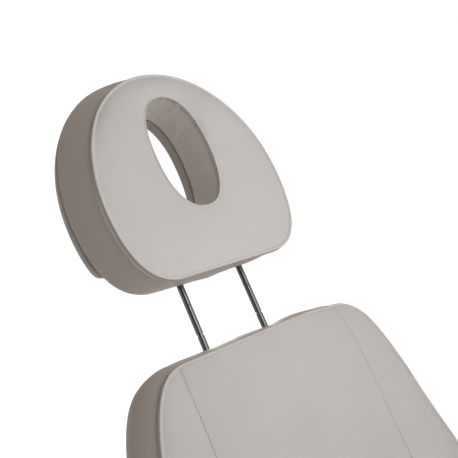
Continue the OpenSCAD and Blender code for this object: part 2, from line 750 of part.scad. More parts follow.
// Motor with its mounting flange and a narrower end cap, turned about Z
module motor() rotate_extrude($fn = fine) polygon([[0, 0], [motor_d / 2 + collar_rim, 0],
    [motor_d / 2 + collar_rim, motor_flange_t], [motor_d / 2, motor_flange_t],
    [motor_d / 2, motor_l - motor_cap_l], [motor_d / 2 - collar_rim, motor_l - motor_cap_l],
    [motor_d / 2 - collar_rim, motor_l - collar_rim], [motor_d / 2 - 2 * collar_rim, motor_l], [0, motor_l]]);
module back_drive() color(dark) drive(1, back_gear_y, back_gear_y + gearbox_l, back_guide_l, back_line_z,
    board_z - frame_tube);
module back_motor() color(steel)
    translate([drive_x + motor_pitch, back_gear_y + gearbox_l, back_line_z]) rotate([-90, 0, 0]) motor();
module leg_drive() color(dark) drive(-1, leg_gear_y, leg_mouth_y, leg_guide_l, leg_line_z,
    leg_line_z + drive_d / 2 + gearbox_edge);
module leg_motor() color(steel)
    translate([-drive_x - motor_pitch, leg_gear_y, leg_line_z]) rotate([90, 0, 0]) motor();

// Push rod with its crosshead block, the pin through it and the rollers on the pin
module crosshead(x, y, z, rod_y, rod_l) difference() {
    union() {
        translate([x, rod_y, z]) bar_y(push_d, rod_l);
        translate([x - block_w / 2, y - block_l / 2, z - block_l / 2]) cube([block_w, block_l, block_l]);
    }
    translate([x, y, z]) bar_x(cross_pin_d, block_w + 2 * over);
}
module cross_pin(x, y, z) translate([x, y, z]) {
    half = lever_x + lever_t + side_gap;
    bar_x(cross_pin_d - 2 * run, 2 * half);
    for (s = [-1, 1]) translate([s * (half + pin_head_t / 2), 0, 0]) bar_x(pin_head_d, pin_head_t);
}
module rollers(x, y, z) for (s = [-1, 1]) translate([x + s * (lever_x + lever_t / 2), y, z])
    difference() {
        bar_x(roller_d, lever_t);
        bar_x(cross_pin_d, lever_t + 2 * over);
    }
module back_crosshead() color(chrome) crosshead(drive_x, back_cross_y, back_line_z,
    back_cross_y - back_push_l, back_push_l);
module back_crosshead_pin() color(steel) cross_pin(drive_x, back_cross_y, back_line_z);
module back_rollers() color(steel) rollers(drive_x, back_cross_y, back_line_z);
module leg_crosshead() color(chrome) crosshead(-drive_x, leg_cross_y, leg_line_z, leg_cross_y, leg_push_l);
module leg_crosshead_pin() color(steel) cross_pin(-drive_x, leg_cross_y, leg_line_z);
module leg_rollers() color(steel) rollers(-drive_x, leg_cross_y, leg_line_z);

// Backrest
module frame_tubes(v0, v1, n0) translate([0, 0, n0]) {
    for (x = [-frame_x, frame_x]) translate([x, v0 + frame_tube, 0])
        tube_y(v1 - v0 - 2 * frame_tube, frame_tube, frame_tube);
    translate([0, v0 + frame_tube / 2, 0]) tube_x(2 * ear_x - plate_t, frame_tube, frame_tube);
    translate([0, (v0 + v1) / 2, 0]) tube_x(2 * frame_x - frame_tube, frame_tube, frame_tube);
    translate([0, v1 - frame_tube / 2, 0]) tube_x(2 * frame_x + frame_tube, frame_tube, frame_tube);
}
module back_ear() plate_x(plate_t) difference() {
    union() {
        circle(d = eye_w, $fn = fine);
        polygon([[-eye_r, 0], [eye_r, 0], [eye_r, back_frame_n + frame_tube - soft_gap],
            [back_frame_v + frame_tube, back_frame_n + frame_tube - soft_gap],
            [back_frame_v + frame_tube, back_frame_n], [back_frame_v, back_frame_n],
            [-eye_r, back_frame_n + frame_tube]]);
    }
    circle(r = bush_r + run, $fn = fine);
}
module backrest_frame() color(paint) on_back() {
    frame_tubes(back_frame_v, back_frame_len, back_frame_n);
    both_sides() translate([ear_x, 0, 0]) back_ear();
}
// Lever plate with a straight slot, drawn in the swinging part's own frame
lever_root_share = 0.6;
module lever_plate(v0, n_top, n_root, lever, out, slot_r, angle) plate_x(lever_t) difference() {
    hull() {
        slot_shape(lever, out, slot_r + lever_rim, angle);
        translate([v0, n_root]) square([frame_tube / 3, n_top - n_root]);
    }
    slot_shape(lever, out, slot_r, angle);
}
module lever_pair(x) for (s = [-1, 1]) translate([x + s * (lever_x + lever_t / 2), 0, 0]) children();
module backrest_lever() color(paint) on_back() lever_pair(drive_x)
    lever_plate(back_frame_v - frame_tube / 3, back_frame_n + frame_tube * lever_root_share, back_frame_n,
        back_lever, back_slot_out, back_slot_r, 270 - back_mid_angle);
module bushes() both_sides() translate([ear_x, 0, 0]) difference() {
    bar_x(2 * bush_r, plate_t + 2 * bush_wall);
    bar_x(shaft_d + 2 * run, plate_t + 3 * bush_wall);
}
module back_bushes() color(steel) on_back() bushes();
module backrest_board() color(ply) on_back() board(back_outline, board_inset, back_n0 - board_t, board_t);

// Guides for the rods inside the cushion, clamped to the board
guide_lift = 0.5;
guide_d = 2 * (rod_n - back_n0 - guide_lift);
guide_below = 300;
guide_l = back_len + bulge - groove_v + guide_below;
clamp_w = 32;
clamp_l = 24;
clamp_top = 3;
clamp_h = guide_d / 2 + rod_n - back_n0 + clamp_top;
clamp_place_shares = [0.8, 0.27];
module rod_guides() color(steel) on_rods() both_sides() translate([rod_pitch / 2, -guide_below, 0])
    difference() {
        bar_y(guide_d, guide_l);
        translate([0, -over, 0]) bar_y(rod_d + 2 * run, guide_l + 2 * over);
    }
module clamp_boxes(gap) for (s = [-1, 1], share = clamp_place_shares)
    translate([s * rod_pitch / 2 - clamp_w / 2 - gap, -share * guide_below - gap, back_n0 - rod_n])
        cube([clamp_w + 2 * gap, clamp_l + 2 * gap, clamp_h + gap]);
module guide_clamps() color(dark) on_rods() difference() {
    clamp_boxes(0);
    both_sides() translate([rod_pitch / 2, -guide_below, 0]) bar_y(guide_d + 2 * run, guide_l);
}
module backrest_cushion() color(leather) on_back() difference() {
    cushion(back_outline, back_n0, hinge_drop);
    translate([0, groove_v, rod_n]) {
        clamp_boxes(soft_gap);
        translate([0, 0, -over]) clamp_boxes(soft_gap);
        both_sides() translate([rod_pitch / 2, -guide_below - soft_gap, 0]) {
            bar_y(guide_d + 2 * soft_gap, guide_l + 2 * bulge);
            translate([-guide_d / 2 - soft_gap, 0, back_n0 - rod_n - over])
                cube([guide_d + 2 * soft_gap, guide_l - bulge, rod_n - back_n0 + over]);
        }
    }
}

// Headrest: a D-shaped outline with its flat side towards the backrest
head_flat_share = 0.28;
head_corner_shares = [[head_flat_share, 0], [0.43, 0.006], [0.497, 0.15], [0.5, 0.382]];
head_top_shares = [[0.5, 0.382], [0.5, 0.71], [0.298, 1], [0, 1]];
function head_points(shares, n) = bez_points([for (s = shares) [s[0] * head_w, s[1] * head_len]], n);
head_half = concat([[0, 0], [head_flat_share * head_w / 2, 0]],
    head_points(head_corner_shares, 10), head_points(head_top_shares, 16), [[0, head_len]]);
head_outline = concat(head_half, [for (i = [len(head_half) - 2:-1:1]) [-head_half[i][0], head_half[i][1]]]);
hole_mid = [0, hole_v + hole_len / 2];
hole_power = 2.3;
// The walls lean out from the front seam to the leather's back edge, by these shares of width and
// length, while the lower edge rises; the hole grows longer down to the shell's back
head_spread_shares = [0.115, 0.095];
head_rise = 6;
hole_spread_share = 0.08;
function deep_share(z, depth) = max(0, min(1, (head_t - head_back - z) / depth));
function head_point(p, z) = let (s = deep_share(z, head_t))
    [p[0] * (1 + head_spread_shares[0] * s), p[1] * (1 + head_spread_shares[1] * s) + head_rise * s];
function hole_point(u, z) = let (s = hole_spread_share * deep_share(z, head_t + head_board_t),
    l = hole_len * (1 + s))
    [0, hole_v + l / 2] + u * pow(pow(abs(u[0]) / (hole_w / 2), hole_power)
        + pow(abs(u[1]) / (l / 2), hole_power), -1 / hole_power);
// Ring at share s from the outline to the hole, moved out by e and raised to z
function head_ring(s, e, z) = [for (p = head_outline) let (u = (p - hole_mid) / norm(p - hole_mid),
    a = head_point(p, z), r = a + (hole_point(u, z) - a) * s + u * e) [r[0], r[1], z]];
// Steps round the section: share towards the hole, share of the swell, share of the height, of the crown
head_section_shares = [[0, -0.3, 0, 0], [0, 0.3, 0.08, 0], [0, 0.8, 0.24, 0], [0, 1, 0.45, 0],
    [0, 0.85, 0.7, 0], [0, 0.45, 0.88, 0], [0, 0, 1, 0], [0.05, 0, 1, 0.35], [0.14, 0, 1, 0.7],
    [0.3, 0, 1, 0.95], [0.5, 0, 1, 1], [0.7, 0, 1, 0.95], [0.86, 0, 1, 0.7], [0.95, 0, 1, 0.35],
    [1, 0, 1, 0], [1, -0.3, 0.82, 0], [1, -0.5, 0.5, 0], [1, -0.3, 0.18, 0], [1, 0, 0, 0]];
head_crown_share = 0.7;
shell_v = 53;
shell_inset = 2;
shell_draw = 7;
carrier_v = 54;
carrier_l = 28;
carrier_end = 13;
carrier_top = 4;
carrier_w = rod_pitch + 2 * carrier_end;
carrier_h = head_back + rod_d / 2 + carrier_top;
rod_room = 1;
rod_end_v = carrier_v + carrier_l;
groove_w = 3;
groove_depth = 1;
dimple_v = 44;
dimple_d = 4;
chamfer = 1;
module on_head() {
    on_rods() translate([0, head_v, 0]) children();
}
module headrest_rods() color(chrome) on_rods() both_sides() translate([rod_pitch / 2, 0, 0])
    difference() {
        r = rod_d / 2;
        rotate([-90, 0, 0]) rotate_extrude($fn = fine) polygon([[0, -rod_below], [r - chamfer, -rod_below],
            [r, -rod_below + chamfer], [r, -groove_w / 2], [r - groove_depth, -groove_w / 2],
            [r - groove_depth, groove_w / 2], [r, groove_w / 2], [r, head_v + rod_end_v],
            [0, head_v + rod_end_v]]);
        translate([0, dimple_v, r - groove_depth]) cylinder(d = dimple_d, h = r, $fn = coarse);
    }
module rod_carrier() color(steel) on_head() difference() {
    translate([-carrier_w / 2, carrier_v, -head_back]) cube([carrier_w, carrier_l, carrier_h]);
    both_sides() translate([rod_pitch / 2, carrier_v - over, 0])
        bar_y(rod_d + 2 * run, carrier_l + 2 * over);
}
module headrest_board() color(dark) on_head() difference() {
    low = -head_back - head_board_t;
    loft([head_ring(0, -shell_inset - shell_draw, low), head_ring(0, -shell_inset, -head_back),
        head_ring(1, 0, -head_back), head_ring(1, 0, low)], true);
    translate([-head_w, -head_len, low - over]) cube([2 * head_w, head_len + shell_v,
        head_board_t + 2 * over]);
}
module headrest_cushion() color(leather) on_head() difference() {
    loft([for (s = head_section_shares)
        head_ring(s[0], s[1] * bulge, -head_back + s[2] * head_t + s[3] * crown * head_crown_share)], true);
    translate([-carrier_w / 2 - soft_gap, carrier_v - soft_gap, -head_back - over])
        cube([carrier_w + 2 * soft_gap, carrier_l + 2 * soft_gap, carrier_h + over + soft_gap]);
    both_sides() translate([rod_pitch / 2, -3 * bulge, 0]) rotate([-90, 0, 0])
        cylinder(d = rod_d + rod_room, h = 3 * bulge + carrier_v + over, $fn = coarse);
}

// Leg rest
leg_outline = pad_outline(leg_gap + bulge, leg_len, seat_w / 2, leg_end_w / 2, seat_r, leg_r, 6);
leg_board_v = leg_frame_v;
module leg_ear() plate_x(plate_t) difference() {
    union() {
        circle(d = eye_w, $fn = fine);
        polygon([[-eye_r, 0], [0, -eye_r], [leg_frame_v + frame_tube, leg_frame_n],
            [leg_frame_v + frame_tube, leg_frame_n + frame_tube - soft_gap],
            [leg_frame_v / 2, leg_frame_n + frame_tube - soft_gap]]);
    }
    circle(r = bush_r + run, $fn = fine);
}
module leg_frame() color(paint) on_leg() {
    frame_tubes(leg_frame_v, leg_frame_len, leg_frame_n);
    both_sides() translate([ear_x, 0, 0]) leg_ear();
}
module leg_levers() color(paint) on_leg() lever_pair(-drive_x)
    lever_plate(leg_frame_v, leg_frame_n, leg_frame_n - frame_tube / 3, leg_lever, leg_slot_out, leg_slot_r,
        leg_mid_angle - 90);
module leg_bushes() color(steel) on_leg() bushes();
module leg_board() color(ply) on_leg() difference() {
    board(leg_outline, board_inset, leg_n0 - board_t, board_t);
    translate([-seat_w, 0, leg_n0 - 2 * board_t]) cube([2 * seat_w, leg_board_v, 2 * board_t + over]);
}
module leg_cushion() color(leather) on_leg() cushion(leg_outline, leg_n0, leg_seam_n);

// Armrests
module armrest_brackets() color(paint) both_sides() {
    rail_side = rail_x + rail_w / 2;
    translate([rail_side, arm_y - arm_tube / 2, arm_tube_z])
        cube([arm_tube_x - rail_side, arm_tube, arm_tube]);
    translate([arm_tube_x, arm_y - arm_tube / 2, arm_tube_z])
        cube([arm_tube, arm_tube, arm_pivot_z - arm_tube_z]);
    translate([arm_tube_x + arm_tube / 2, arm_y, arm_pivot_z]) bar_x(arm_tube, arm_tube);
}
module armrest_pins() color(steel) both_sides() translate([arm_tube_x + arm_tube, arm_y, arm_pivot_z]) {
    l = 2 * side_gap + arm_plate_t;
    translate([l / 2, 0, 0]) bar_x(arm_pin_d, l);
    translate([l + cap_t / 2, 0, 0]) bar_x(arm_pin_d + 2 * cap_t, cap_t);
}
module arm() color(paint) {
    translate([arm_x + arm_plate_t / 2, 0, 0]) plate_x(arm_plate_t) difference() {
        union() {
            translate([arm_y, arm_pivot_z]) circle(d = arm_bar_w, $fn = fine);
            translate([arm_y - arm_bar_w / 2, arm_pivot_z]) square([arm_bar_w, arm_bend_z - arm_pivot_z]);
            translate([arm_y - arm_bend_r, arm_bend_z]) intersection() {
                difference() {
                    circle(r = arm_bend_r + arm_bar_w / 2, $fn = fine);
                    circle(r = arm_bend_r - arm_bar_w / 2, $fn = fine);
                }
                square(2 * arm_bend_r);
            }
            translate([arm_y - arm_bend_r - arm_flange_l, arm_bend_z + arm_bend_r - arm_bar_w / 2])
                square([arm_flange_l, arm_bar_w]);
        }
        translate([arm_y, arm_pivot_z]) circle(d = arm_pin_d + 2 * run, $fn = fine);
    }
    translate([arm_pad_x - arm_flange_w / 2, arm_y - arm_bend_r - arm_flange_l, arm_pad_z - arm_flange_t])
        cube([arm_flange_w, arm_flange_l + arm_bend_r / 2, arm_flange_t]);
}
module arm_pad() color(leather) translate([arm_pad_x, 0, 0])
    cushion(pad_outline(arm_y + arm_pad_back - arm_len, arm_y + arm_pad_back, arm_w / 2, arm_w / 2,
        arm_r, arm_r, 4), arm_pad_z, seat_z + arm_h - crown, crown, bulge / 2, 0);
module armrest_left_arm() mirror([1, 0, 0]) arm();
module armrest_left_pad() mirror([1, 0, 0]) arm_pad();
module armrest_right_arm() arm();
module armrest_right_pad() arm_pad();

module pedal_height() pedal(-1);
module pedal_back() pedal(0);
module pedal_legs() pedal(1);

feet();
foot_studs();
base_frame();
base_cover();
control_box();
mains_inlet();
column_outer();
shroud_lower();
lift_motor();
pedal_console();
pedal_pins();
pedal_height();
pedal_back();
pedal_legs();
column_middle();
shroud_middle();
lift_screw();
column_inner();
shroud_upper();
lift_push_tube();
head_plate();
seat_rails();
cross_members();
back_hinge_plates();
back_shaft();
leg_shaft();
seat_board();
seat_cushion();
back_drive();
back_motor();
leg_drive();
leg_motor();
armrest_brackets();
armrest_pins();
back_crosshead();
back_crosshead_pin();
back_rollers();
leg_crosshead();
leg_crosshead_pin();
leg_rollers();
backrest_frame();
backrest_lever();
back_bushes();
backrest_board();
backrest_cushion();
rod_guides();
guide_clamps();
headrest_rods();
rod_carrier();
headrest_board();
headrest_cushion();
leg_frame();
leg_levers();
leg_bushes();
leg_board();
leg_cushion();
armrest_left_arm();
armrest_left_pad();
armrest_right_arm();
armrest_right_pad();
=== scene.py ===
"""Electric treatment chair: upholstery, seams, stitching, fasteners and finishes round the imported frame.
Lengths are in metres. X is across, +Y points to the head end and Z up."""

import json
import math

import bpy
import numpy as np
from mathutils import Matrix, Vector
from mathutils.bvhtree import BVHTree


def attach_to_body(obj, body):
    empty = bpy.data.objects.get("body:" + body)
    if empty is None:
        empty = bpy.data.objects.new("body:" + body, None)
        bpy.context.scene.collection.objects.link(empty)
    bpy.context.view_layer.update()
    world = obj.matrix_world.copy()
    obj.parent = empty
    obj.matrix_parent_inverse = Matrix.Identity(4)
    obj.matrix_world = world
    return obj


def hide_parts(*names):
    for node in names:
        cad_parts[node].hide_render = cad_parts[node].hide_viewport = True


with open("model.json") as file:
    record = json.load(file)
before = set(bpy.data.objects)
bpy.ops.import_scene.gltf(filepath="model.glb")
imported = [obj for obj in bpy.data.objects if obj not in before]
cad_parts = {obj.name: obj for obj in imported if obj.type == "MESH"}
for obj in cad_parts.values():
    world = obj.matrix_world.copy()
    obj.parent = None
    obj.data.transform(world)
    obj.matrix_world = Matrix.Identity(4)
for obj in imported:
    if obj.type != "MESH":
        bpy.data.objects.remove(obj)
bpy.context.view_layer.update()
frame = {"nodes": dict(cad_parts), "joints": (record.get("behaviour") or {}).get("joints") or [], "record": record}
joints = {j["name"]: j for j in frame["joints"]}
scene = bpy.context.scene

# Sizes that the upholstery shares with the frame
CROWN = 0.008
SWELL = 0.005
SEAM_X = 0.150
PAD_STEP = 0.009

# Seams and stitches
LIP_R = 0.0023
LIP_OUT = 0.0004
LIP_UP = 0.0003
# Share of the hole's lighter shade on the seam lips: a painted highlight
LIP_PAINTED_HIGHLIGHT = 0.25
HOLE_LIP_R = 0.0014
STITCH_L = 0.0032
STITCH_GAP = 0.0016
STITCH_R = 0.0006
STITCH_LIFT = 0.0002
PANEL_STITCH = 0.0045


# Local frames: x across, y along the part, z out of its front
def axes(origin, along, out):
    along, out = Vector(along).normalized(), Vector(out).normalized()
    m = Matrix.Identity(4)
    for k, column in enumerate((along.cross(out), along, out, Vector(origin))):
        for row in range(3):
            m[row][k] = column[row]
    return m


def rest_lean(name):
    """Angle of a part above the horizontal at rest, from its joint's lower limit, which is flat."""
    return math.radians(-joints[name]["range_deg"][0])


BACK_LEAN, LEG_LEAN = rest_lean("backrest_recline"), rest_lean("leg_rest_swing")
BACK = axes(joints["backrest_recline"]["pos_m"], (0, math.cos(BACK_LEAN), math.sin(BACK_LEAN)),
            (0, -math.sin(BACK_LEAN), math.cos(BACK_LEAN)))
LEG = axes(joints["leg_rest_swing"]["pos_m"], (0, -math.cos(LEG_LEAN), -math.sin(LEG_LEAN)),
           (0, -math.sin(LEG_LEAN), math.cos(LEG_LEAN)))
FLAT = Matrix.Identity(4)


def local_points(node, matrix=FLAT):
    """A CAD node's points in a local frame."""
    inverse = matrix.inverted()
    return np.array([inverse @ v.co for v in frame["nodes"][node].data.vertices])


def local_box(node, matrix=FLAT):
    """Lowest and highest corner of a CAD node in a local frame."""
    points = local_points(node, matrix)
    return points.min(0), points.max(0)


def assign(thing, **values):
    for key, value in values.items():
        setattr(thing, key, value)


def add_object(name, data):
    obj = bpy.data.objects.new(name, data)
    scene.collection.objects.link(obj)
    return obj


# Camera, fitted to the photograph from the rods' ring grooves
LENS = 48.76
EYE_FROM_GROOVES = Vector((-0.5224, -0.6094, 0.40705))
LOOK = Vector((0.61594, 0.72288, -0.31314))
GROOVE_ALONG = 0.764
rods_low, rods_high = local_box("headrest_rods", BACK)
ROD_DEPTH = (rods_low[2] + rods_high[2]) / 2
grooves = BACK @ Vector((0, GROOVE_ALONG, ROD_DEPTH))


def make_camera():
    data = bpy.data.cameras.new("camera")
    data.lens = LENS
    data.sensor_width = 36
    camera = add_object("camera", data)
    camera.location = grooves + EYE_FROM_GROOVES
    camera.rotation_euler = LOOK.to_track_quat("-Z", "Y").to_euler()
    scene.camera = camera


# Shader nodes
def fill(n, inputs):
    """Sets a node's inputs to numbers, colours or other nodes' outputs."""
    for key, value in inputs.items():
        if isinstance(value, bpy.types.NodeSocket):
            n.id_data.links.new(value, n.inputs[key])
        else:
            n.inputs[key].default_value = value


def add_node(tree, kind, output, inputs, **settings):
    """Adds a node and gives one of its outputs."""
    n = tree.nodes.new("ShaderNode" + kind)
    assign(n, **settings)
    fill(n, inputs)
    return n.outputs[output]


def noise(tree, coords, scale, detail=2.0):
    return add_node(tree, "TexNoise", "Fac", {"Vector": coords, "Scale": scale, "Detail": detail})


NOISE_MIDDLE = (0.3, 0.7)


def map_range(tree, value, target, source=NOISE_MIDDLE):
    """Maps a value from a range, by default the middle of a noise's, to the target range."""
    levels = dict(zip(("From Min", "From Max", "To Min", "To Max"), (*source, *target)))
    return add_node(tree, "MapRange", "Result", {"Value": value, **levels})


def tint(tree, factor, a, b):
    return add_node(tree, "Mix", "Result", {"Factor": factor, "A": a, "B": b}, data_type="RGBA")


def bump(tree, height, distance, strength, below=None):
    inputs = {"Height": height, "Distance": distance, "Strength": strength}
    return add_node(tree, "Bump", "Normal", {**inputs, "Normal": below} if below else inputs)


def rgba(colour, share=1):
    return (*(c * share for c in colour), 1)


def new_material(name):
    m = bpy.data.materials.new(name)
    m.use_nodes = True
    return m, m.node_tree, m.node_tree.nodes["Principled BSDF"]


# Leather shades: front; side strips, darker and browner as painted shade; inside of the hole, lighter as painted
# light
LEATHER_FRONT = (0.66, 0.638, 0.622)
LEATHER_STRIP_PAINTED_SHADE = (0.62, 0.575, 0.54)
LEATHER_HOLE_PAINTED_LIGHT = (0.80, 0.765, 0.735)
# The large cushions' fronts are the same leather painted a little darker: painted shade
LARGE_FRONT_PAINTED_SHADE = (0.615, 0.595, 0.58)
LEATHER_MOTTLE = 0.955
LEATHER_ROUGH = (0.50, 0.60)
LEATHER_GLOSS = 0.16
GRAIN = 620.0
PORE_GRAIN = 2.2 * GRAIN
PLAIN_MOTTLE = 0.93
PLAIN_ROUGH = (0.9, 1.12)


def leather(name, colour):
    """Coated upholstery leather with a fine pebbled grain and faint mottling. The strips round the edge are
    painted darker and browner as painted shade, and the inside of the face hole lighter as painted light."""
    m, tree, shader = new_material(name)
    coords = add_node(tree, "TexCoord", "Object", {})
    mottle = map_range(tree, noise(tree, coords, 9.0, 3.0), (0, 1))
    shade = tint(tree, mottle, rgba(colour), rgba(colour, LEATHER_MOTTLE))
    # Painted shade on the side strips and painted light inside the hole, by their marks
    for strip, painted_strip_colour in (("boxing", LEATHER_STRIP_PAINTED_SHADE), ("hole", LEATHER_HOLE_PAINTED_LIGHT)):
        share = add_node(tree, "Attribute", "Fac", {}, attribute_name=strip)
        shade = tint(tree, share, shade, rgba(painted_strip_colour))
    cells = add_node(tree, "TexVoronoi", "Distance", {"Vector": coords, "Scale": GRAIN})
    fine = bump(tree, cells, 0.0002, 0.10)
    pores = bump(tree, noise(tree, coords, PORE_GRAIN), 0.0002, 0.08, fine)
    fill(shader, {
        "Base Color": shade,
        "Roughness": map_range(tree, noise(tree, coords, 60.0, 3.0), LEATHER_ROUGH),
        "Specular IOR Level": LEATHER_GLOSS,
        "Normal": bump(tree, noise(tree, coords, 38.0), 0.0012, 0.10, pores),
    })
    return m


def plain(name, colour, rough, metallic, grain, depth):
    """Painted, moulded or bare rigid surface with a slight texture."""
    m, tree, shader = new_material(name)
    coords = add_node(tree, "TexCoord", "Object", {})
    mottle = map_range(tree, noise(tree, coords, 14.0, 3.0), (0, 1))
    rough_range = [rough * share for share in PLAIN_ROUGH]
    fill(shader, {
        "Base Color": tint(tree, mottle, rgba(colour), rgba(colour, PLAIN_MOTTLE)),
        "Roughness": map_range(tree, noise(tree, coords, 45.0, 3.0), rough_range),
        "Metallic": metallic,
        "Normal": bump(tree, noise(tree, coords, grain), depth, 0.25),
    })
    return m


LEATHERS = {"leather_head": LEATHER_FRONT, "leather_back": LARGE_FRONT_PAINTED_SHADE, "leather_arm": LEATHER_FRONT}
# Rigid finishes: colour, roughness, metallic, scale of the grain and its depth
FINISHES = {
    "board_dark": ((0.46, 0.435, 0.41), 0.6, 0.0, 300.0, 0.0001),
    "rod_chrome": ((0.115, 0.112, 0.107), 0.32, 1.0, 900.0, 0.00001),
    "frame_paint": ((0.62, 0.61, 0.60), 0.38, 0.0, 700.0, 0.0001),
    "steel_plain": ((0.42, 0.42, 0.42), 0.34, 1.0, 500.0, 0.00005),
    "aluminium_stage": ((0.62, 0.62, 0.63), 0.36, 1.0, 800.0, 0.00005),
    "shell_plastic": ((0.72, 0.71, 0.70), 0.42, 0.0, 900.0, 0.0001),
    "dark_plastic": ((0.035, 0.035, 0.037), 0.45, 0.0, 900.0, 0.0001),
    "foot_rubber": ((0.02, 0.02, 0.02), 0.7, 0.0, 700.0, 0.0001),
    "thread": ((0.48, 0.445, 0.41), 0.7, 0.0, 2000.0, 0.0001),
}
MATERIALS = {name: leather(name, front) for name, front in LEATHERS.items()}
MATERIALS.update({name: plain(name, *finish) for name, finish in FINISHES.items()})


def dress_nodes():
    """Every CAD node takes the finish of its material slot in the record."""
    slots = {row["node"]: row["material_slot"] for row in frame["record"]["subparts"]}
    for name, node in frame["nodes"].items():
        node.data.materials.clear()
        node.data.materials.append(MATERIALS[slots[name]])


# Mesh helpers
def add_mesh(name, points, faces, material, matrix=FLAT):
    mesh = bpy.data.meshes.new(name)
    mesh.from_pydata([matrix @ Vector(p) for p in points], [], [tuple(int(i) for i in f) for f in faces])
    mesh.materials.append(MATERIALS[material])
    mesh.polygons.foreach_set("use_smooth", [True] * len(mesh.polygons))
    mesh.update()
    return add_object(name, mesh)


def mark(obj, name, index, amount=1.0):
    """Marks the points of one leather strip, where the material mixes in its painted shade or painted light."""
    share = np.zeros(len(obj.data.vertices), dtype=np.float32)
    index = np.array(index, dtype=int)
    share[index.ravel()] = np.broadcast_to(amount, index.shape).ravel()
    obj.data.attributes.new(name, "FLOAT", "POINT").data.foreach_set("value", share)


def bezier(p, n):
    """n + 1 points along a cubic curve."""
    t = np.linspace(0, 1, n + 1)[:, None]
    p = [np.array(q, float) for q in p]
    s = 1 - t
    return s**3 * p[0] + 3 * s * s * t * p[1] + 3 * s * t * t * p[2] + t**3 * p[3]


def measured(points, closed=False):
    points = np.asarray(points, float)
    if closed:
        points = np.vstack([points, points[:1]])
    lengths = np.concatenate([[0], np.cumsum(np.linalg.norm(np.diff(points, axis=0), axis=1))])
    return points, lengths


def at_level(points, n):
    """Flat points raised to a level, or to a level each."""
    return np.column_stack([points, np.broadcast_to(n, len(points))])


def evenly(points, count, closed=False):
    """count points at equal steps along a polyline."""
    points, lengths = measured(points, closed)
    at = np.linspace(0, lengths[-1], count, endpoint=not closed)
    return np.stack([np.interp(at, lengths, points[:, k]) for k in range(points.shape[1])], 1)


def add_modifier(obj, name, kind, **settings):
    assign(obj.modifiers.new(name, kind), **settings)


def quads(ring_a, ring_b, closed=True):
    n = len(ring_a)
    last = n if closed else n - 1
    return [(ring_a[i], ring_a[(i + 1) % n], ring_b[(i + 1) % n], ring_b[i]) for i in range(last)]


def ring_index(count, size, start=0):
    """Point numbers of a stack of rings."""
    return np.arange(start, start + count * size).reshape(count, size).tolist()


def join_rings(index, closed=True, flip=False):
    """Faces from each ring to the next, and from the last to the first if closed."""
    following = index[1:] + index[:1] if closed else index[1:]
    faces = [q for a, b in zip(index, following) for q in quads(a, b)]
    return [tuple(reversed(q)) for q in faces] if flip else faces


# Headrest: a D-shaped ring cushion on a padded dark back shell, both round the face hole
HEAD_V = 0.074
HEAD_W = 0.302
HEAD_L = 0.304
SEAM_N = 0.060
LEATHER_N = -0.020
BACK_N = -0.045
HEAD = BACK @ Matrix.Translation((0, GROOVE_ALONG + HEAD_V, ROD_DEPTH))
HOLE_MID = np.array([0, 0.177])
HOLE_FOOT = 0.087
HOLE_W = 0.098
HOLE_L = 0.180
HOLE_POWER = 2.3
HOLE_GROWTH = 0.08
CORNER_SHARES = [[0.28, 0], [0.43, 0.006], [0.497, 0.15], [0.5, 0.382]]
TOP_SHARES = [[0.5, 0.382], [0.5, 0.71], [0.298, 1], [0, 1]]
# The walls lean out towards the back, and the lower edge rises there
HEAD_SPREAD = np.array([0.115, 0.101])
HEAD_RISE = 0.006
HEAD_COUNT = 300
HEAD_WALL_ROWS = 12
HEAD_BACK_SHARES = (0.25, 0.5, 0.75)
HEAD_SWELL = 0.003
HOLE_SWELL = 0.6 * HEAD_SWELL
# Crown and roll of the face: shallow round the lower part, steep at the upper sides
HEAD_CROWNS = (0.0050, 0.0085)
HEAD_ROLLS = (0.016, 0.0105)
HEAD_TOP_CROWN = 0.0046
HEAD_CROWN_SHARES = (0.65, 0.35)
HEAD_EDGE_ROLL = 0.005
# The front seam sinks a little round the top
HEAD_DROOP = 0.0030
ROLL_FROM = 85
ROLL_TO = 125
ROLL_END = 165
# Shoulder where the lower wall bulges out beside the seam
SHOULDER = 0.0030
SHOULDER_DEPTH = 0.0072
SHOULDER_REACH = 0.0042
SHOULDER_FULL = 60
SHOULDER_END = 105
# How far the stuffing pushes the lower wall out, by the place across
LOWER_X = [-0.100, -0.060, -0.030, -0.015, 0, 0.025, 0.045, 0.090]
LOWER_SWELL = [0.0035, 0.0035, 0.0045, 0.0055, 0.0038, 0.0018, 0.0004, 0.0004]
CORNER_STEPS = 60
TOP_STEPS = 90
FINE_COUNT = 1440


def head_outline(n, count):
    """Outline at a depth, from the bottom's middle, anticlockwise seen from the front."""
    share = min(max((SEAM_N - n) / (SEAM_N - LEATHER_N), 0), 1)
    curves = [[[0, 0]], bezier(CORNER_SHARES, CORNER_STEPS), bezier(TOP_SHARES, TOP_STEPS)[1:]]
    half = np.vstack(curves) * [HEAD_W, HEAD_L]
    half = half * (1 + HEAD_SPREAD * share) + [0, HEAD_RISE * share]
    return evenly(np.vstack([half, (half * [-1, 1])[-2:0:-1]]), count, closed=True)


def hole_outline(directions, n):
    """Edge of the hole at a depth: it grows longer towards the back from its lower end."""
    length = HOLE_L * (1 + HOLE_GROWTH * min(max((SEAM_N - n) / (SEAM_N - BACK_N), 0), 1))
    x, y = np.abs(directions[:, 0]) * 2 / HOLE_W, np.abs(directions[:, 1]) * 2 / length
    reach = (x ** HOLE_POWER + y ** HOLE_POWER) ** (-1 / HOLE_POWER)
    return directions * reach[:, None] + [0, HOLE_FOOT + length / 2]


def head_directions():
    """Unit directions from the hole's middle to even steps along the front seam."""
    outer = head_outline(SEAM_N, HEAD_COUNT) - HOLE_MID
    return outer / np.linalg.norm(outer, axis=1)[:, None]


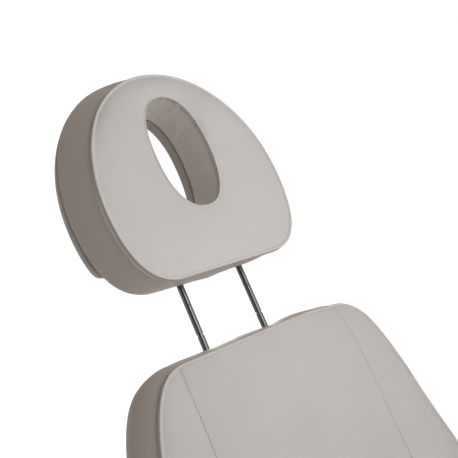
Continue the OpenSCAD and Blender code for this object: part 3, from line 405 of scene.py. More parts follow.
def outline_at(directions, n):
    """Outline point in each direction from the hole's middle."""
    fine = head_outline(n, FINE_COUNT) - HOLE_MID
    a = np.unwrap(np.arctan2(fine[:, 1], fine[:, 0]))
    want = np.unwrap(np.arctan2(directions[:, 1], directions[:, 0]))
    want = a[0] + np.mod(want - a[0], 2 * math.pi)
    a = np.append(a, a[0] + 2 * math.pi)
    fine = np.vstack([fine, fine[:1]])
    return HOLE_MID + np.stack([np.interp(want, a, fine[:, k]) for k in range(2)], 1)


# Boxing below a seam: depth from the seam and how far the seam and the topstitch hold it in
BOXING = [(0.0, 0.0), (0.0018, -0.0008), (0.0036, 0.0), (0.0052, 0.0004), (0.0070, 0.0), (0.0092, 0.0007)]
# The swell below it ends a little above the rear edge, and is fuller than a sine
SWELL_STRETCH = 1.05
SWELL_POWER = 0.8


def boxing_profile(height, count):
    """Rows down a side wall: depth, stand-out held by the seam, and share of the swell."""
    rows = [(depth, out, 0.0) for depth, out in BOXING]
    start, held = BOXING[-1]
    for k in range(1, count + 1):
        share = k / count
        swell = math.sin(math.pi * min(share * SWELL_STRETCH, 1)) ** SWELL_POWER
        rows.append((start + (height - start) * share, held * (1 - swell), swell))
    rows[-1] = (height, 0.0, 0.0)
    return rows


# Rings across the face, from the outer seam to the hole
FRONT_SHARES = [0.014, 0.035, 0.065, 0.11, 0.17, 0.24, 0.32, 0.41, 0.50,
                0.59, 0.68, 0.76, 0.83, 0.89, 0.93, 0.96, 0.985]


def dome(edge, roll, edge_roll, shares):
    """Rise of a panel at a distance from its seam, as a share of its crown: a wide roll and a tight one."""
    return shares[0] * (1 - np.exp(-edge / roll)) + shares[1] * (1 - np.exp(-edge / edge_roll))


def loop_normals(loop):
    """Outward directions along a closed anticlockwise outline."""
    d = np.roll(loop, -1, 0) - np.roll(loop, 1, 0)
    n = np.column_stack([d[:, 1], -d[:, 0]])
    return n / np.linalg.norm(n, axis=1)[:, None]


def uneven_swell(points, normals, facing, places, swells, base):
    """Swell that varies across where a wall faces up (1) or down (-1) the part, and is even elsewhere."""
    share = np.clip(facing * normals[:, 1], 0, 1) ** 2
    return share * np.interp(points[:, 0], places, swells) + (1 - share) * base


PUCKER = 0.0018
PUCKER_STEP = 0.0105
PUCKER_REACH = 0.045
PUCKER_RISE = 0.05
PUCKER_START = 0.005
PUCKER_FADE = 0.030
# Two waves: height, step and phase
PUCKER_WAVES = ((1.0, 1.0, 0.6), (0.6, 1.7, 2.1))


def puckers(points, depth):
    """Small folds where the leather is gathered round the top of the hole."""
    up = points[:, 1] - HOLE_MID[1]
    along = points[:, 0]
    window = np.exp(-(along / PUCKER_REACH) ** 4) * np.clip(up / PUCKER_RISE, 0, 1)
    fade = min(depth / PUCKER_START, 1) * math.exp(-depth / PUCKER_FADE)
    wave = 0
    for height, step, phase in PUCKER_WAVES:
        wave = wave + height * np.cos(2 * math.pi * along / (step * PUCKER_STEP) + phase)
    return PUCKER * window * fade * wave


def turn_from_foot(directions):
    """Degrees between each direction and straight down, the same on both sides."""
    return np.degrees(np.arccos(np.clip(-directions[:, 1], -1, 1)))


def ramp(value, low, high):
    t = np.clip((value - low) / (high - low), 0, 1)
    return t * t * (3 - 2 * t)


def head_cushion():
    directions = head_directions()
    turn = turn_from_foot(directions)
    steep = ramp(turn, ROLL_FROM, ROLL_TO) * (1 - ramp(turn, ROLL_TO, ROLL_END))
    crown = HEAD_CROWNS[0] + (HEAD_CROWNS[1] - HEAD_CROWNS[0]) * steep
    crown = crown + (HEAD_TOP_CROWN - crown) * ramp(turn, ROLL_TO, ROLL_END)
    roll = HEAD_ROLLS[0] + (HEAD_ROLLS[1] - HEAD_ROLLS[0]) * steep
    shoulder = SHOULDER * (1 - ramp(turn, SHOULDER_FULL, SHOULDER_END))
    droop = HEAD_DROOP * ramp(turn, ROLL_FROM, ROLL_END)
    rings, names = [], {}

    def ring(points, n, label=None):
        if label:
            names[label] = len(rings)
        rings.append(at_level(points, n))

    rows = boxing_profile(SEAM_N - LEATHER_N, HEAD_WALL_ROWS)
    names["outer_back"] = 0
    for depth, held, swell in reversed(rows):
        p = outline_at(directions, SEAM_N - depth)
        out = loop_normals(p)
        beside = math.exp(-((depth - SHOULDER_DEPTH) / SHOULDER_REACH) ** 2) if depth else 0
        full = uneven_swell(p, out, -1, LOWER_X, LOWER_SWELL, HEAD_SWELL)
        stand = held + swell * full + shoulder * beside
        sunk = droop * (1 - depth / (SEAM_N - LEATHER_N))
        ring(p + out * stand[:, None], SEAM_N - depth - sunk, "outer_seam" if depth == 0 else None)
    outer, inner = outline_at(directions, SEAM_N), hole_outline(directions, SEAM_N)
    span = np.linalg.norm(outer - inner, axis=1)
    for share in FRONT_SHARES:
        edge = np.minimum(share, 1 - share) * span
        rise = crown * dome(edge, roll, HEAD_EDGE_ROLL, HEAD_CROWN_SHARES)
        ring(outer + (inner - outer) * share, SEAM_N + rise - droop * (1 - share) ** 2)
    for depth, held, swell in rows:
        p = hole_outline(directions, SEAM_N - depth)
        stand = held + swell * HOLE_SWELL + puckers(p, depth)
        ring(p - loop_normals(p) * stand[:, None], SEAM_N - depth, "inner_seam" if depth == 0 else None)
    names["inner_back"] = len(rings) - 1
    back_in, back_out = rings[-1][:, :2], rings[0][:, :2]
    for share in HEAD_BACK_SHARES:
        ring(back_in + (back_out - back_in) * share, LEATHER_N)
    index = ring_index(len(rings), HEAD_COUNT)
    return np.vstack(rings), join_rings(index), {k: index[v] for k, v in names.items()}, index


# Back shell: depth from its front and inset of its outer edge, rounded at the rear; it ends square below
SHELL_FOOT = 0.046
SHELL_INSET = 0.0005
SHELL_ROWS = [(0.0, 0.0), (0.003, 0.0), (0.010, 0.0008), (0.017, 0.0018),
              (0.0205, 0.0030), (0.0230, 0.0050), (0.0245, 0.0080), (0.0250, 0.0125)]
SHELL_HOLE_INSET = 0.4
SHELL_POWER = 36


def shell_outline(directions, inset):
    """The leather's rear outline drawn in, cut straight along the foot with small round corners."""
    full = np.linalg.norm(outline_at(directions, LEATHER_N) - HOLE_MID, axis=1) - SHELL_INSET - inset
    room = HOLE_MID[1] - SHELL_FOOT - inset
    down = np.maximum(-directions[:, 1], 1e-6)
    reach = (full ** -SHELL_POWER + (room / down) ** -SHELL_POWER) ** (-1 / SHELL_POWER)
    return HOLE_MID + directions * reach[:, None]


def head_shell():
    directions = head_directions()
    rings = [at_level(shell_outline(directions, inset), LEATHER_N - depth) for depth, inset in SHELL_ROWS]
    for depth, inset in reversed(SHELL_ROWS):
        p = hole_outline(directions, LEATHER_N - depth)
        rings.append(at_level(p + loop_normals(p) * inset * SHELL_HOLE_INSET, LEATHER_N - depth))
    return np.vstack(rings), join_rings(ring_index(len(rings), HEAD_COUNT), flip=True)


# Cloth settings, frames run, how far a point may move, and the cushions' pressures and growths
CLOTH = {
    "quality": 6, "mass": 0.25, "tension_stiffness": 30, "compression_stiffness": 30, "shear_stiffness": 15,
    "bending_stiffness": 1.5, "air_damping": 3, "use_pressure": True, "vertex_group_mass": "held",
    "vertex_group_shrink": "loose", "shrink_min": 0,
}
CLOTH_FRAMES = 14
MOVE_CAP = 0.004
HEAD_PRESSURE = 2.5
HEAD_GROW = 0.004
PAD_PRESSURE = 2.0
PAD_GROW = 0.003


def inflate(obj, pinned, loose, pressure, grow):
    """Runs a cloth under pressure with its seams held, and keeps the result in the mesh."""
    for name, group in (("held", pinned), ("loose", loose)):
        obj.vertex_groups.new(name=name).add([int(i) for i in sorted(group)], 1.0, "REPLACE")
    modifier = obj.modifiers.new("cloth", "CLOTH")
    assign(modifier.settings, **CLOTH, uniform_pressure_force=pressure, shrink_max=-grow)
    modifier.settings.effector_weights.gravity = 0
    assign(modifier.collision_settings, use_collision=False, use_self_collision=False)
    before = np.array([v.co for v in obj.data.vertices])
    for f in range(1, CLOTH_FRAMES + 1):
        scene.frame_set(f)
    shown = obj.evaluated_get(bpy.context.evaluated_depsgraph_get())
    after = np.array([v.co for v in shown.data.vertices])
    obj.modifiers.remove(modifier)
    obj.vertex_groups.clear()
    scene.frame_set(1)
    move = after - before
    length = np.linalg.norm(move, axis=1)
    kept = before + move * np.minimum(1, MOVE_CAP / np.maximum(length, 1e-9))[:, None]
    obj.data.vertices.foreach_set("co", kept.ravel())
    obj.data.update()


def refine(obj):
    add_modifier(obj, "subdivision", "SUBSURF", levels=1, render_levels=1)


# A slanting direction that no line of tube runs along
TUBE_UP = np.array([0.31, 0.52, 0.79])


def tube(points, radius, sides=8, closed=True):
    """Points and faces of a round tube along a line of points."""
    points = np.asarray(points, float)
    if closed:
        along = np.roll(points, -1, 0) - np.roll(points, 1, 0)
    else:
        along = np.gradient(points, axis=0)
    along /= np.linalg.norm(along, axis=1)[:, None]
    side = np.cross(along, TUBE_UP)
    side /= np.linalg.norm(side, axis=1)[:, None]
    other = np.cross(side, along)
    rings = []
    for k in range(sides):
        a = 2 * math.pi * k / sides
        rings.append(points + radius * (math.cos(a) * side + math.sin(a) * other))
    verts = np.stack(rings, 1).reshape(-1, 3)
    index = ring_index(len(points), sides)
    faces = join_rings(index, closed)
    if not closed:
        faces += [tuple(index[0]), tuple(reversed(index[-1]))]
    return verts, faces


def add_tube(points, faces, line, radius, sides=8, closed=True):
    """Adds a tube to the points and faces of a mesh in the making."""
    verts, more = tube(line, radius, sides, closed)
    faces += [tuple(i + len(points) for i in q) for q in more]
    points += list(verts)


def world_points(obj, index):
    return np.array([v.co for v in obj.data.vertices])[index]


def seam_lip(name, obj, index, matrix, material, side=1, radius=LIP_R):
    """Rolled edge that stands a little proud along a closed seam; side is -1 round a hole."""
    local = matrix.inverted()
    line = evenly([local @ Vector(p) for p in world_points(obj, index)], len(index) * 2, closed=True)
    area_twice = np.sum(line[:, 0] * np.roll(line[:, 1], -1) - line[:, 1] * np.roll(line[:, 0], -1))
    turn = 1 if area_twice > 0 else -1
    out = at_level(loop_normals(line[:, :2]) * turn * side * LIP_OUT, LIP_UP)
    verts, faces = tube(line + out, radius)
    lip = add_mesh(name, verts, faces, material, matrix)
    # Painted highlight: the lip takes part of the lighter hole shade
    mark(lip, "hole", range(len(verts)), LIP_PAINTED_HIGHLIGHT)
    return lip


def stitches(name, obj, line, closed):
    """A row of separate thread stitches sunk a little into the surface along a line."""
    look = BVHTree.FromObject(obj, bpy.context.evaluated_depsgraph_get())
    path, lengths = measured(line, closed)
    pitch = STITCH_L + STITCH_GAP
    points, faces = [], []
    for k in range(int(lengths[-1] / pitch)):
        ends = []
        for d in (k * pitch, k * pitch + STITCH_L):
            p = np.array([np.interp(d, lengths, path[:, c]) for c in range(3)])
            place, normal, _, _ = look.find_nearest(Vector(p))
            ends.append((np.array(place), np.array(normal)))
        (a, na), (b, nb) = ends
        quarters = (a * 0.75 + b * 0.25 + na * STITCH_LIFT, a * 0.25 + b * 0.75 + nb * STITCH_LIFT)
        add_tube(points, faces, [a - na * STITCH_R, *quarters, b - nb * STITCH_R], STITCH_R, 6, False)
    return add_mesh(name, points, faces, "thread")


# Rows of the walls beside the seams that carry topstitching, and the cushion's rear rows, which don't swell
HEAD_STITCH_ROW = 4
PAD_STITCH_ROW = 3
HEAD_REAR_ROWS = len(HEAD_BACK_SHARES)


def attach(pieces, body):
    for piece in pieces:
        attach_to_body(piece, body)


def build_headrest():
    points, faces, names, index = head_cushion()
    cushion = add_mesh("headrest_upholstery", points, faces, "leather_head", HEAD)
    held = {i for row in [*names.values(), *index[-HEAD_REAR_ROWS:]] for i in row}
    wall = names["outer_seam"][0] // HEAD_COUNT
    hole = names["inner_seam"][0] // HEAD_COUNT
    # Painted shade on the walls and painted light inside the hole; beside the seam the lower left strip keeps the
    # lighter front shade, a painted highlight
    amount = np.ones((wall, HEAD_COUNT))
    amount[-HEAD_STITCH_ROW:] = ramp(turn_from_foot(head_directions()), SHOULDER_FULL, SHOULDER_END)
    mark(cushion, "boxing", index[:wall], amount)
    mark(cushion, "hole", index[hole + 1:hole + wall + 1])
    loose = [i for row in index[:wall] + index[hole:] for i in row]
    inflate(cushion, held, loose, HEAD_PRESSURE, HEAD_GROW)
    refine(cushion)
    pieces = [cushion]
    for key, side, radius in (("outer", 1, LIP_R), ("inner", -1, HOLE_LIP_R)):
        seam = names[key + "_seam"]
        pieces.append(seam_lip(f"headrest_{key}_seam", cushion, seam, HEAD, "leather_head", side, radius))
    for key, row in (("outer", wall - HEAD_STITCH_ROW), ("inner", hole + HEAD_STITCH_ROW)):
        pieces.append(stitches(f"headrest_{key}_stitches", cushion, world_points(cushion, index[row]), True))
    attach(pieces, "headrest")
    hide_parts("headrest_cushion")
    points, faces = head_shell()
    shell = add_mesh("headrest_shell", points, faces, "board_dark", HEAD)
    refine(shell)
    attach([shell], "headrest")
    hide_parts("headrest_board")


# Pads: rows along the part, columns across, a boxing and a flat back
CORNER_POINTS = 24


def round_corner(y0, radius, width):
    """Half widths [y, x] round a pad's lower corner; width gives the half width without the corner."""
    rows = []
    for a in np.linspace(0, math.pi / 2, CORNER_POINTS):
        y = y0 + radius * (1 - math.cos(a))
        rows.append([y, width(y) - radius * (1 - math.sin(a))])
    return rows


def pad_outline(y0, y1, w0, w1, r0, r1):
    """Half widths [y, x] along a pad with straight sides and round corners."""
    def width(y):
        return w0 + (w1 - w0) * (y - y0) / (y1 - y0)
    rows = round_corner(y0, r0, width)
    for a in np.linspace(0, math.pi / 2, CORNER_POINTS):
        y = y1 - r1 * (1 - math.sin(a))
        rows.append([y, width(y) - r1 * (1 - math.cos(a))])
    return np.array(rows)


BACK_SIDE_SHARES = [[0.38, 1], [0.54, 1], [0.70, 0.84], [0.81, 0.80]]
BACK_SHOULDER_SHARES = [[0.81, 0.80], [0.925, 0.73], [0.995, 0.665]]
BACK_SIDE_STEPS = 40
BACK_SHOULDER_STEPS = 60
BACK_TOP_W = 0.290
BACK_CORNER_R = 0.038


def back_outline(start, length, width):
    size = np.array([length, width / 2])
    corner = round_corner(start, BACK_CORNER_R, lambda y: width / 2)
    side = bezier(np.array(BACK_SIDE_SHARES) * size, BACK_SIDE_STEPS)
    shoulder = np.vstack([np.array(BACK_SHOULDER_SHARES) * size, [[length, BACK_TOP_W / 2]]])
    return np.vstack([corner, side, bezier(shoulder, BACK_SHOULDER_STEPS)[1:]])


# Rows: close together in the corners, but never slivers
FINE_STEP = 0.0005
ROW_GAP = 0.0016
CORNER_STEP = 0.006
STRAIGHT_GAP = 0.005
LAST_GAP = 0.001


def pick_rows(outline):
    """Rows of an outline at useful steps."""
    fine, lengths = measured(outline)
    dense = evenly(fine, int(lengths[-1] / FINE_STEP))
    rows = [dense[0]]
    gone = 0.0
    for a, b in zip(dense, dense[1:]):
        gone += np.linalg.norm(b - a)
        gap = b[0] - rows[-1][0]
        if (gap >= ROW_GAP and gone >= CORNER_STEP) and (gone >= PAD_STEP or gap < STRAIGHT_GAP):
            rows.append(b)
            gone = 0.0
    if dense[-1][0] - rows[-1][0] < LAST_GAP:
        rows.pop()
    rows.append(dense[-1])
    return np.array(rows)


# Room between a panel seam and the edge, half the seam's strip, and columns in each panel
SEAM_ROOM = 0.009
SEAM_HALF = 0.006
PANEL_COLUMNS = (17, 16)
PLAIN_COLUMNS = (12, 6)
PLAIN_SHARE = 0.8


def stations(w, seam_x):
    """Places across one row from the middle out, the same count in every row."""
    if seam_x:
        chan = min(seam_x, w - SEAM_ROOM)
        inner = list(np.linspace(0, chan - SEAM_HALF, PANEL_COLUMNS[0]))
        seam = [chan - SEAM_HALF / 2, chan, chan + SEAM_HALF / 2, chan + SEAM_HALF]
        outer = list(np.linspace(seam[-1], w, PANEL_COLUMNS[1])[1:])
    else:
        inner, seam = list(np.linspace(0, w * PLAIN_SHARE, PLAIN_COLUMNS[0])), []
        outer = list(np.linspace(w * PLAIN_SHARE, w, PLAIN_COLUMNS[1])[1:])
    x = np.array(inner + seam + outer)
    return np.concatenate([-x[:0:-1], x])


def edge_distance(points, loop):
    """Distance of each point to a closed outline."""
    a, b = loop, np.roll(loop, -1, 0)
    d = b - a
    best = np.full(len(points), 1e9)
    for p, q in zip(a, d):
        t = np.clip(((points - p) @ q) / max(q @ q, 1e-12), 0, 1)
        best = np.minimum(best, np.linalg.norm(points - (p + t[:, None] * q), axis=1))
    return best


def even_swell(points, normals):
    return np.full(len(points), SWELL)


# The stuffing pushes the backrest's top wall out unevenly
TOP_X = [-0.160, -0.118, -0.086, -0.060, -0.031, -0.009, 0.013, 0.047, 0.060, 0.086, 0.118, 0.158]
TOP_SWELL = [0.0070, 0.0090, 0.0085, 0.0070, 0.0085, 0.0090, 0.0080, 0.0055, 0.0085, 0.0095, 0.0075, 0.0050]


def back_swell(points, normals):
    return uneven_swell(points, normals, 1, TOP_X, TOP_SWELL, SWELL)


CHANNEL = 0.0014
CHANNEL_W = 0.0045
CHANNEL_POWER = 1.2
CROWN_SHARES = (0.55, 0.45)
EDGE_ROLL = 0.007
PAD_ROLL = 0.020
PAD_WALL_ROWS = 9
REAR_FLARE = 0.005
FLARE_POWER = 0.8


def panel_seams(rows, grid, at, seam_x):
    """How far each point sinks at the seams between panels, the seams, and the points held there."""
    # The panels roll down to their seam from both sides, and it ends where the pad is too narrow
    width = rows[:, 1]
    chan = np.minimum(seam_x, width - SEAM_ROOM)
    free = np.clip((width - SEAM_ROOM - seam_x) / SEAM_ROOM + 1, 0, 1)
    away = np.abs(np.abs(grid[:, :, 0]) - chan[:, None])
    sunk = CHANNEL * free[:, None] * np.exp(-(away / CHANNEL_W) ** CHANNEL_POWER)
    held = set(at[width - chan - SEAM_HALF < SEAM_ROOM].ravel())
    seams = {}
    for key, side in (("panel_left", -1), ("panel_right", 1)):
        j = int(np.argmin(np.abs(grid[len(rows) // 2, :, 0] - side * seam_x)))
        seams[key] = list(at[free > 0.5, j])
        held |= set(at[:, j])
    return sunk.reshape(-1), seams, held


def pad_mesh(outline, n0, n1, swell_at, seam_x, roll, lean=None):
    """Points, faces, seams, walls and held points of a boxed cushion. A lean shifts its front seam."""
    rows = pick_rows(outline)
    grid = np.array([[(x, y) for x in stations(w, seam_x)] for y, w in rows])
    nrow, ncol = grid.shape[:2]
    at = np.arange(nrow * ncol).reshape(nrow, ncol)
    loop = np.concatenate([at[0], at[1:, -1], at[-1, -2::-1], at[-2:0:-1, 0]])
    rear = grid.reshape(-1, 2)
    flat, droop = lean(rear, rows) if lean else (rear, 0)
    edge = edge_distance(flat, flat[loop])
    height = n1 - droop + CROWN * dome(edge, roll, EDGE_ROLL, CROWN_SHARES)
    held = set(loop)
    names = {"front_seam": list(loop)}
    if seam_x:
        sunk, seams, fixed = panel_seams(rows, grid, at, seam_x)
        height = height - sunk
        names.update(seams)
        held |= fixed
    points = [at_level(flat, height)]
    faces = []
    for i in range(nrow - 1):
        faces += quads(list(at[i]), list(at[i + 1]), closed=False)
    outward = loop_normals(flat[loop])
    previous = list(loop)
    made = nrow * ncol
    walls = []
    swell = swell_at(flat[loop], outward)
    behind = rear[loop] + (outward * (REAR_FLARE * np.abs(outward[:, :1])) if lean else 0)
    seam_height = height[loop]
    for depth, hold, share in boxing_profile(n1 - n0, PAD_WALL_ROWS)[1:]:
        part = depth / (n1 - n0)
        base = flat[loop] + (behind - flat[loop]) * part ** FLARE_POWER
        ring = base + outward * (hold + swell * share)[:, None]
        points.append(at_level(ring, seam_height - depth + (n1 - seam_height) * part))
        index = list(range(made, made + len(loop)))
        made += len(loop)
        faces += quads(index, previous)
        walls.append(index)
        previous = index
    inside = np.setdiff1d(at.ravel(), loop)
    back = np.full(nrow * ncol, -1)
    back[inside] = np.arange(made, made + len(inside))
    back[loop] = previous
    points.append(at_level(rear[inside], n0))
    back = back.reshape(nrow, ncol)
    for i in range(nrow - 1):
        faces += [tuple(reversed(q)) for q in quads(list(back[i]), list(back[i + 1]), closed=False)]
    held |= set(back.ravel())
    return np.vstack(points), faces, names, walls, held


# The backrest's front seam is narrower than its back, off the middle, and droops at the top corners
BACK_ROLL = 0.045
SEAM_DRAW = 0.006
SEAM_SHIFT = 0.004
CORNER_DROOPS = (0.004, 0.008)
CORNER_DRAW = 0.004
CORNER_REACH = 0.040


def back_lean(rear, rows):
    width = np.interp(rear[:, 1], rows[:, 0], rows[:, 1])
    share = np.abs(rear[:, 0]) / width
    x = rear[:, 0] - np.sign(rear[:, 0]) * SEAM_DRAW * share ** 5 + SEAM_SHIFT * share ** 3
    corner = np.array([BACK_TOP_W / 2, rows[-1, 0]])
    near = np.exp(-(np.linalg.norm(np.abs(rear) - corner, axis=1) / CORNER_REACH) ** 2)
    right = rear[:, 0] > 0
    y = rear[:, 1] - CORNER_DRAW * near * right
    return np.column_stack([x, y]), near * np.where(right, CORNER_DROOPS[1], CORNER_DROOPS[0])


def build_pad(name, node, body, matrix, outline, slot="leather_back", seam_x=SEAM_X,
              swell_at=even_swell, roll=PAD_ROLL, lean=None):
    low, high = local_box(node, matrix)
    points, faces, names, walls, held = pad_mesh(
        outline, low[2], high[2] - CROWN, swell_at, seam_x, roll, lean)
    pad = add_mesh(name, points, faces, slot, matrix)
    # The walls take the darker strip shade: painted shade
    mark(pad, "boxing", walls)
    inflate(pad, held, [i for row in walls for i in row], PAD_PRESSURE, PAD_GROW)
    refine(pad)
    pieces = [pad, seam_lip(f"{name}_seam", pad, names["front_seam"], matrix, slot)]
    topstitch = world_points(pad, walls[PAD_STITCH_ROW])
    pieces.append(stitches(f"{name}_stitches", pad, topstitch, True))
    for key, side in (("panel_left", 1), ("panel_right", -1)):
        if key in names:
            shift = np.array(matrix.to_3x3() @ Vector((side * PANEL_STITCH, 0, 0)))
            line = world_points(pad, names[key]) + shift
            pieces.append(stitches(f"{name}_{key}_stitches", pad, line, False))
    attach(pieces, body)
    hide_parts(node)


def pad_sizes(node, matrix):
    """Seam's lowest and highest place along a pad and its half width."""
    low, high = local_box(node, matrix)
    return low[1] + SWELL, high[1] - SWELL, high[0] - SWELL


TOP_SEAM_DROP = 0.002
SEAT_CORNER_R = 0.038
LEG_FOOT_W = 0.255
LEG_FOOT_R = 0.070
ARM_CORNER_R = 0.036


def build_pads():
    y0, y1, w = pad_sizes("backrest_cushion", BACK)
    outline = back_outline(y0, y1 - TOP_SEAM_DROP, 2 * w)
    build_pad("backrest_upholstery", "backrest_cushion", "backrest", BACK, outline,
              swell_at=back_swell, roll=BACK_ROLL, lean=back_lean)
    y0, y1, w = pad_sizes("seat_cushion", FLAT)
    outline = pad_outline(y0, y1, w, w, SEAT_CORNER_R, SEAT_CORNER_R)
    build_pad("seat_upholstery", "seat_cushion", "seat", FLAT, outline)
    y0, y1, w = pad_sizes("leg_cushion", LEG)
    outline = pad_outline(y0, y1, w, LEG_FOOT_W, SEAT_CORNER_R, LEG_FOOT_R)
    build_pad("leg_upholstery", "leg_cushion", "leg_rest", LEG, outline)
    for side in ("left", "right"):
        node = f"armrest_{side}_pad"
        low, high = local_box(node)
        matrix = Matrix.Translation(((low[0] + high[0]) / 2, 0, 0))
        y0, y1, w = pad_sizes(node, matrix)
        outline = pad_outline(y0, y1, w, w, ARM_CORNER_R, ARM_CORNER_R)
        name = f"armrest_{side}"
        build_pad(f"{name}_upholstery", node, name, matrix, outline, "leather_arm", seam_x=0)


# Rigid frame: edges eased on the CAD nodes; fasteners, plugs, bands and leather margins added
EDGE = 0.0005
EDGES = {
    0.0008: ["back_hinge_plates", "pedal_console", "shroud_middle", "shroud_upper"],
    0.0010: ["armrest_left_arm", "armrest_right_arm", "head_plate", "back_drive", "leg_drive",
             "shroud_lower"],
    0.0012: ["seat_rails", "cross_members", "backrest_frame", "leg_frame", "armrest_brackets", "base_frame",
             "pedal_height", "pedal_back", "pedal_legs"],
    0.0015: ["seat_board", "backrest_board", "leg_board", "control_box"],
}
EDGE_ANGLE = math.radians(38)
FLAT_ANGLE = math.radians(0.5)
WELD_GAP = 0.00002


def ease_edges():
    """Every visible CAD node but the rods, which are turned, gets small rounded edges."""
    widths = {name: width for width, names in EDGES.items() for name in names}
    for name, node in frame["nodes"].items():
        if name == "headrest_rods":
            continue
        node.data.polygons.foreach_set("use_smooth", [True] * len(node.data.polygons))
        add_modifier(node, "weld", "WELD", merge_threshold=WELD_GAP)
        # Flat faces come in triangles; joining them keeps the eased edges even
        add_modifier(node, "flat", "DECIMATE", decimate_type="DISSOLVE", angle_limit=FLAT_ANGLE)
        add_modifier(node, "edges", "BEVEL", width=widths.get(name, EDGE), segments=2, limit_method="ANGLE",
                     angle_limit=EDGE_ANGLE, use_clamp_overlap=False, harden_normals=True)


def turned(matrix, place, facing):
    """Local frame at a place in millimetres, with z along a direction."""
    turn = Vector(facing).to_track_quat("Z", "Y").to_matrix().to_4x4()
    return matrix @ Matrix.Translation(Vector(place) / 1000) @ turn


def add_part(name, points, faces, slot, body):
    part = add_mesh(name, points, faces, slot)
    add_modifier(part, "normals", "WEIGHTED_NORMAL", weight=80)
    attach([part], body)
    return part


def add_copies(name, slot, body, facing, places, rings, matrix):
    """A stack of rings with closed ends, copied to places in millimetres as one piece."""
    points, faces = [], []
    for place in places:
        at = turned(matrix, place, facing)
        index = ring_index(len(rings), len(rings[0]), len(points))
        points += [at @ Vector(q) for ring in rings for q in ring]
        faces += join_rings(index, closed=False)
        faces += [tuple(index[-1]), tuple(reversed(index[0]))]
    add_part(name, points, faces, slot, body)


def flat_ring(x, y, z):
    return at_level(np.column_stack([x, y]), z)


def round_angles(count):
    return np.linspace(0, 2 * math.pi, count, endpoint=False)


# Button-head screw on a washer: radius and height for a thread of 1; the last two are the hex socket
SCREW_ROWS = [(1.2, 0), (1.2, 0.16), (1.152, 0.2), (0.9, 0.2), (0.9, 0.4475), (0.792, 0.651),
              (0.558, 0.75), (0.42, 0.75), (0.42, 0.42)]
SCREW_SIDES = 24
M3, M4, M5, M6, M8 = 0.003, 0.004, 0.005, 0.006, 0.008


def screws(name, body, facing, places, thread=M6, matrix=FLAT):
    """A group of screws whose heads face one way; places are in millimetres."""
    angle = round_angles(SCREW_SIDES)
    sixth = math.pi / 3
    hexagon = 1 / np.cos(np.mod(angle, sixth) - sixth / 2)
    shapes = [np.ones(SCREW_SIDES)] * (len(SCREW_ROWS) - 2) + [hexagon] * 2
    rings = []
    for (radius, height), shape in zip(SCREW_ROWS, shapes):
        reach = radius * thread * shape
        rings.append(flat_ring(reach * np.cos(angle), reach * np.sin(angle), height * thread))
    add_copies(name, "steel_plain", body, facing, places, rings, matrix)


# Plug: growth past the tube's section and height, and the power that squares its outline
PLUG_ROWS = [(-0.0030, -0.006), (-0.0030, 0.0), (0.0, 0.0), (0.0, 0.0009), (-0.0008, 0.0015)]
PLUG_POINTS = 32
PLUG_POWER = 0.12


def plugs(name, body, facing, places, width, height, matrix=FLAT):
    """Plastic plugs in the open ends of rectangular tubes; places are in millimetres."""
    angle = round_angles(PLUG_POINTS)
    rings = []
    for grow, z in PLUG_ROWS:
        x, y = [(size / 2 + grow) * np.abs(t) ** PLUG_POWER * np.sign(t)
                for size, t in ((width, np.cos(angle)), (height, np.sin(angle)))]
        rings.append(flat_ring(x, y, z))
    add_copies(name, "dark_plastic", body, facing, places, rings, matrix)


BAND_PLACES = (-24, -12, 0, 12, 24)
BAND_RADIUS = 0.0190
BAND_R = 0.0011
BAND_POINTS = 48


def motor_bands(node):
    """Raised bands round a motor; their places from its middle are in millimetres."""
    low, high = local_box(node)
    x, y, z = (low + high) * 500
    angle = round_angles(BAND_POINTS)
    circle = flat_ring(BAND_RADIUS * np.cos(angle), BAND_RADIUS * np.sin(angle), 0)
    points, faces = [], []
    for away in BAND_PLACES:
        at = turned(FLAT, (x, y + away, z), HEADWARD)
        add_tube(points, faces, [at @ Vector(q) for q in circle], BAND_R)
    add_part(f"{node}_bands", points, faces, "aluminium_stage", "seat")


# Leather turned over a board's edge onto its rear face, and its staples
MARGIN_COUNT = 420
MARGIN_WIDTH = 0.024
MARGIN_PROUD = 0.0016
MARGIN_THICK = 0.0011
# Waves along the cut edge: height, number round the board and phase
CUT_WAVES = ((0.0012, 23, 0), (0.0008, 41, 1.3))
CUT_FROM = 0.020
STAPLE_STEP = 0.030
STAPLE_L = 0.010
STAPLE_R = 0.0006
STAPLE_INSET = 0.013
STAPLE_ROOT = -0.0006
STAPLE_TOP = -0.0017


def rear_outline(node, matrix):
    """Outline of a board's rear face, in order round its middle, and its level."""
    p = local_points(node, matrix)
    level = p[:, 2].min()
    flat = np.unique(np.round(p[np.abs(p[:, 2] - level) < 0.0002][:, :2], 5), axis=0)
    middle = (flat.min(0) + flat.max(0)) / 2
    order = np.argsort(np.arctan2(flat[:, 1] - middle[1], flat[:, 0] - middle[0]))
    return evenly(flat[order], MARGIN_COUNT, closed=True), level


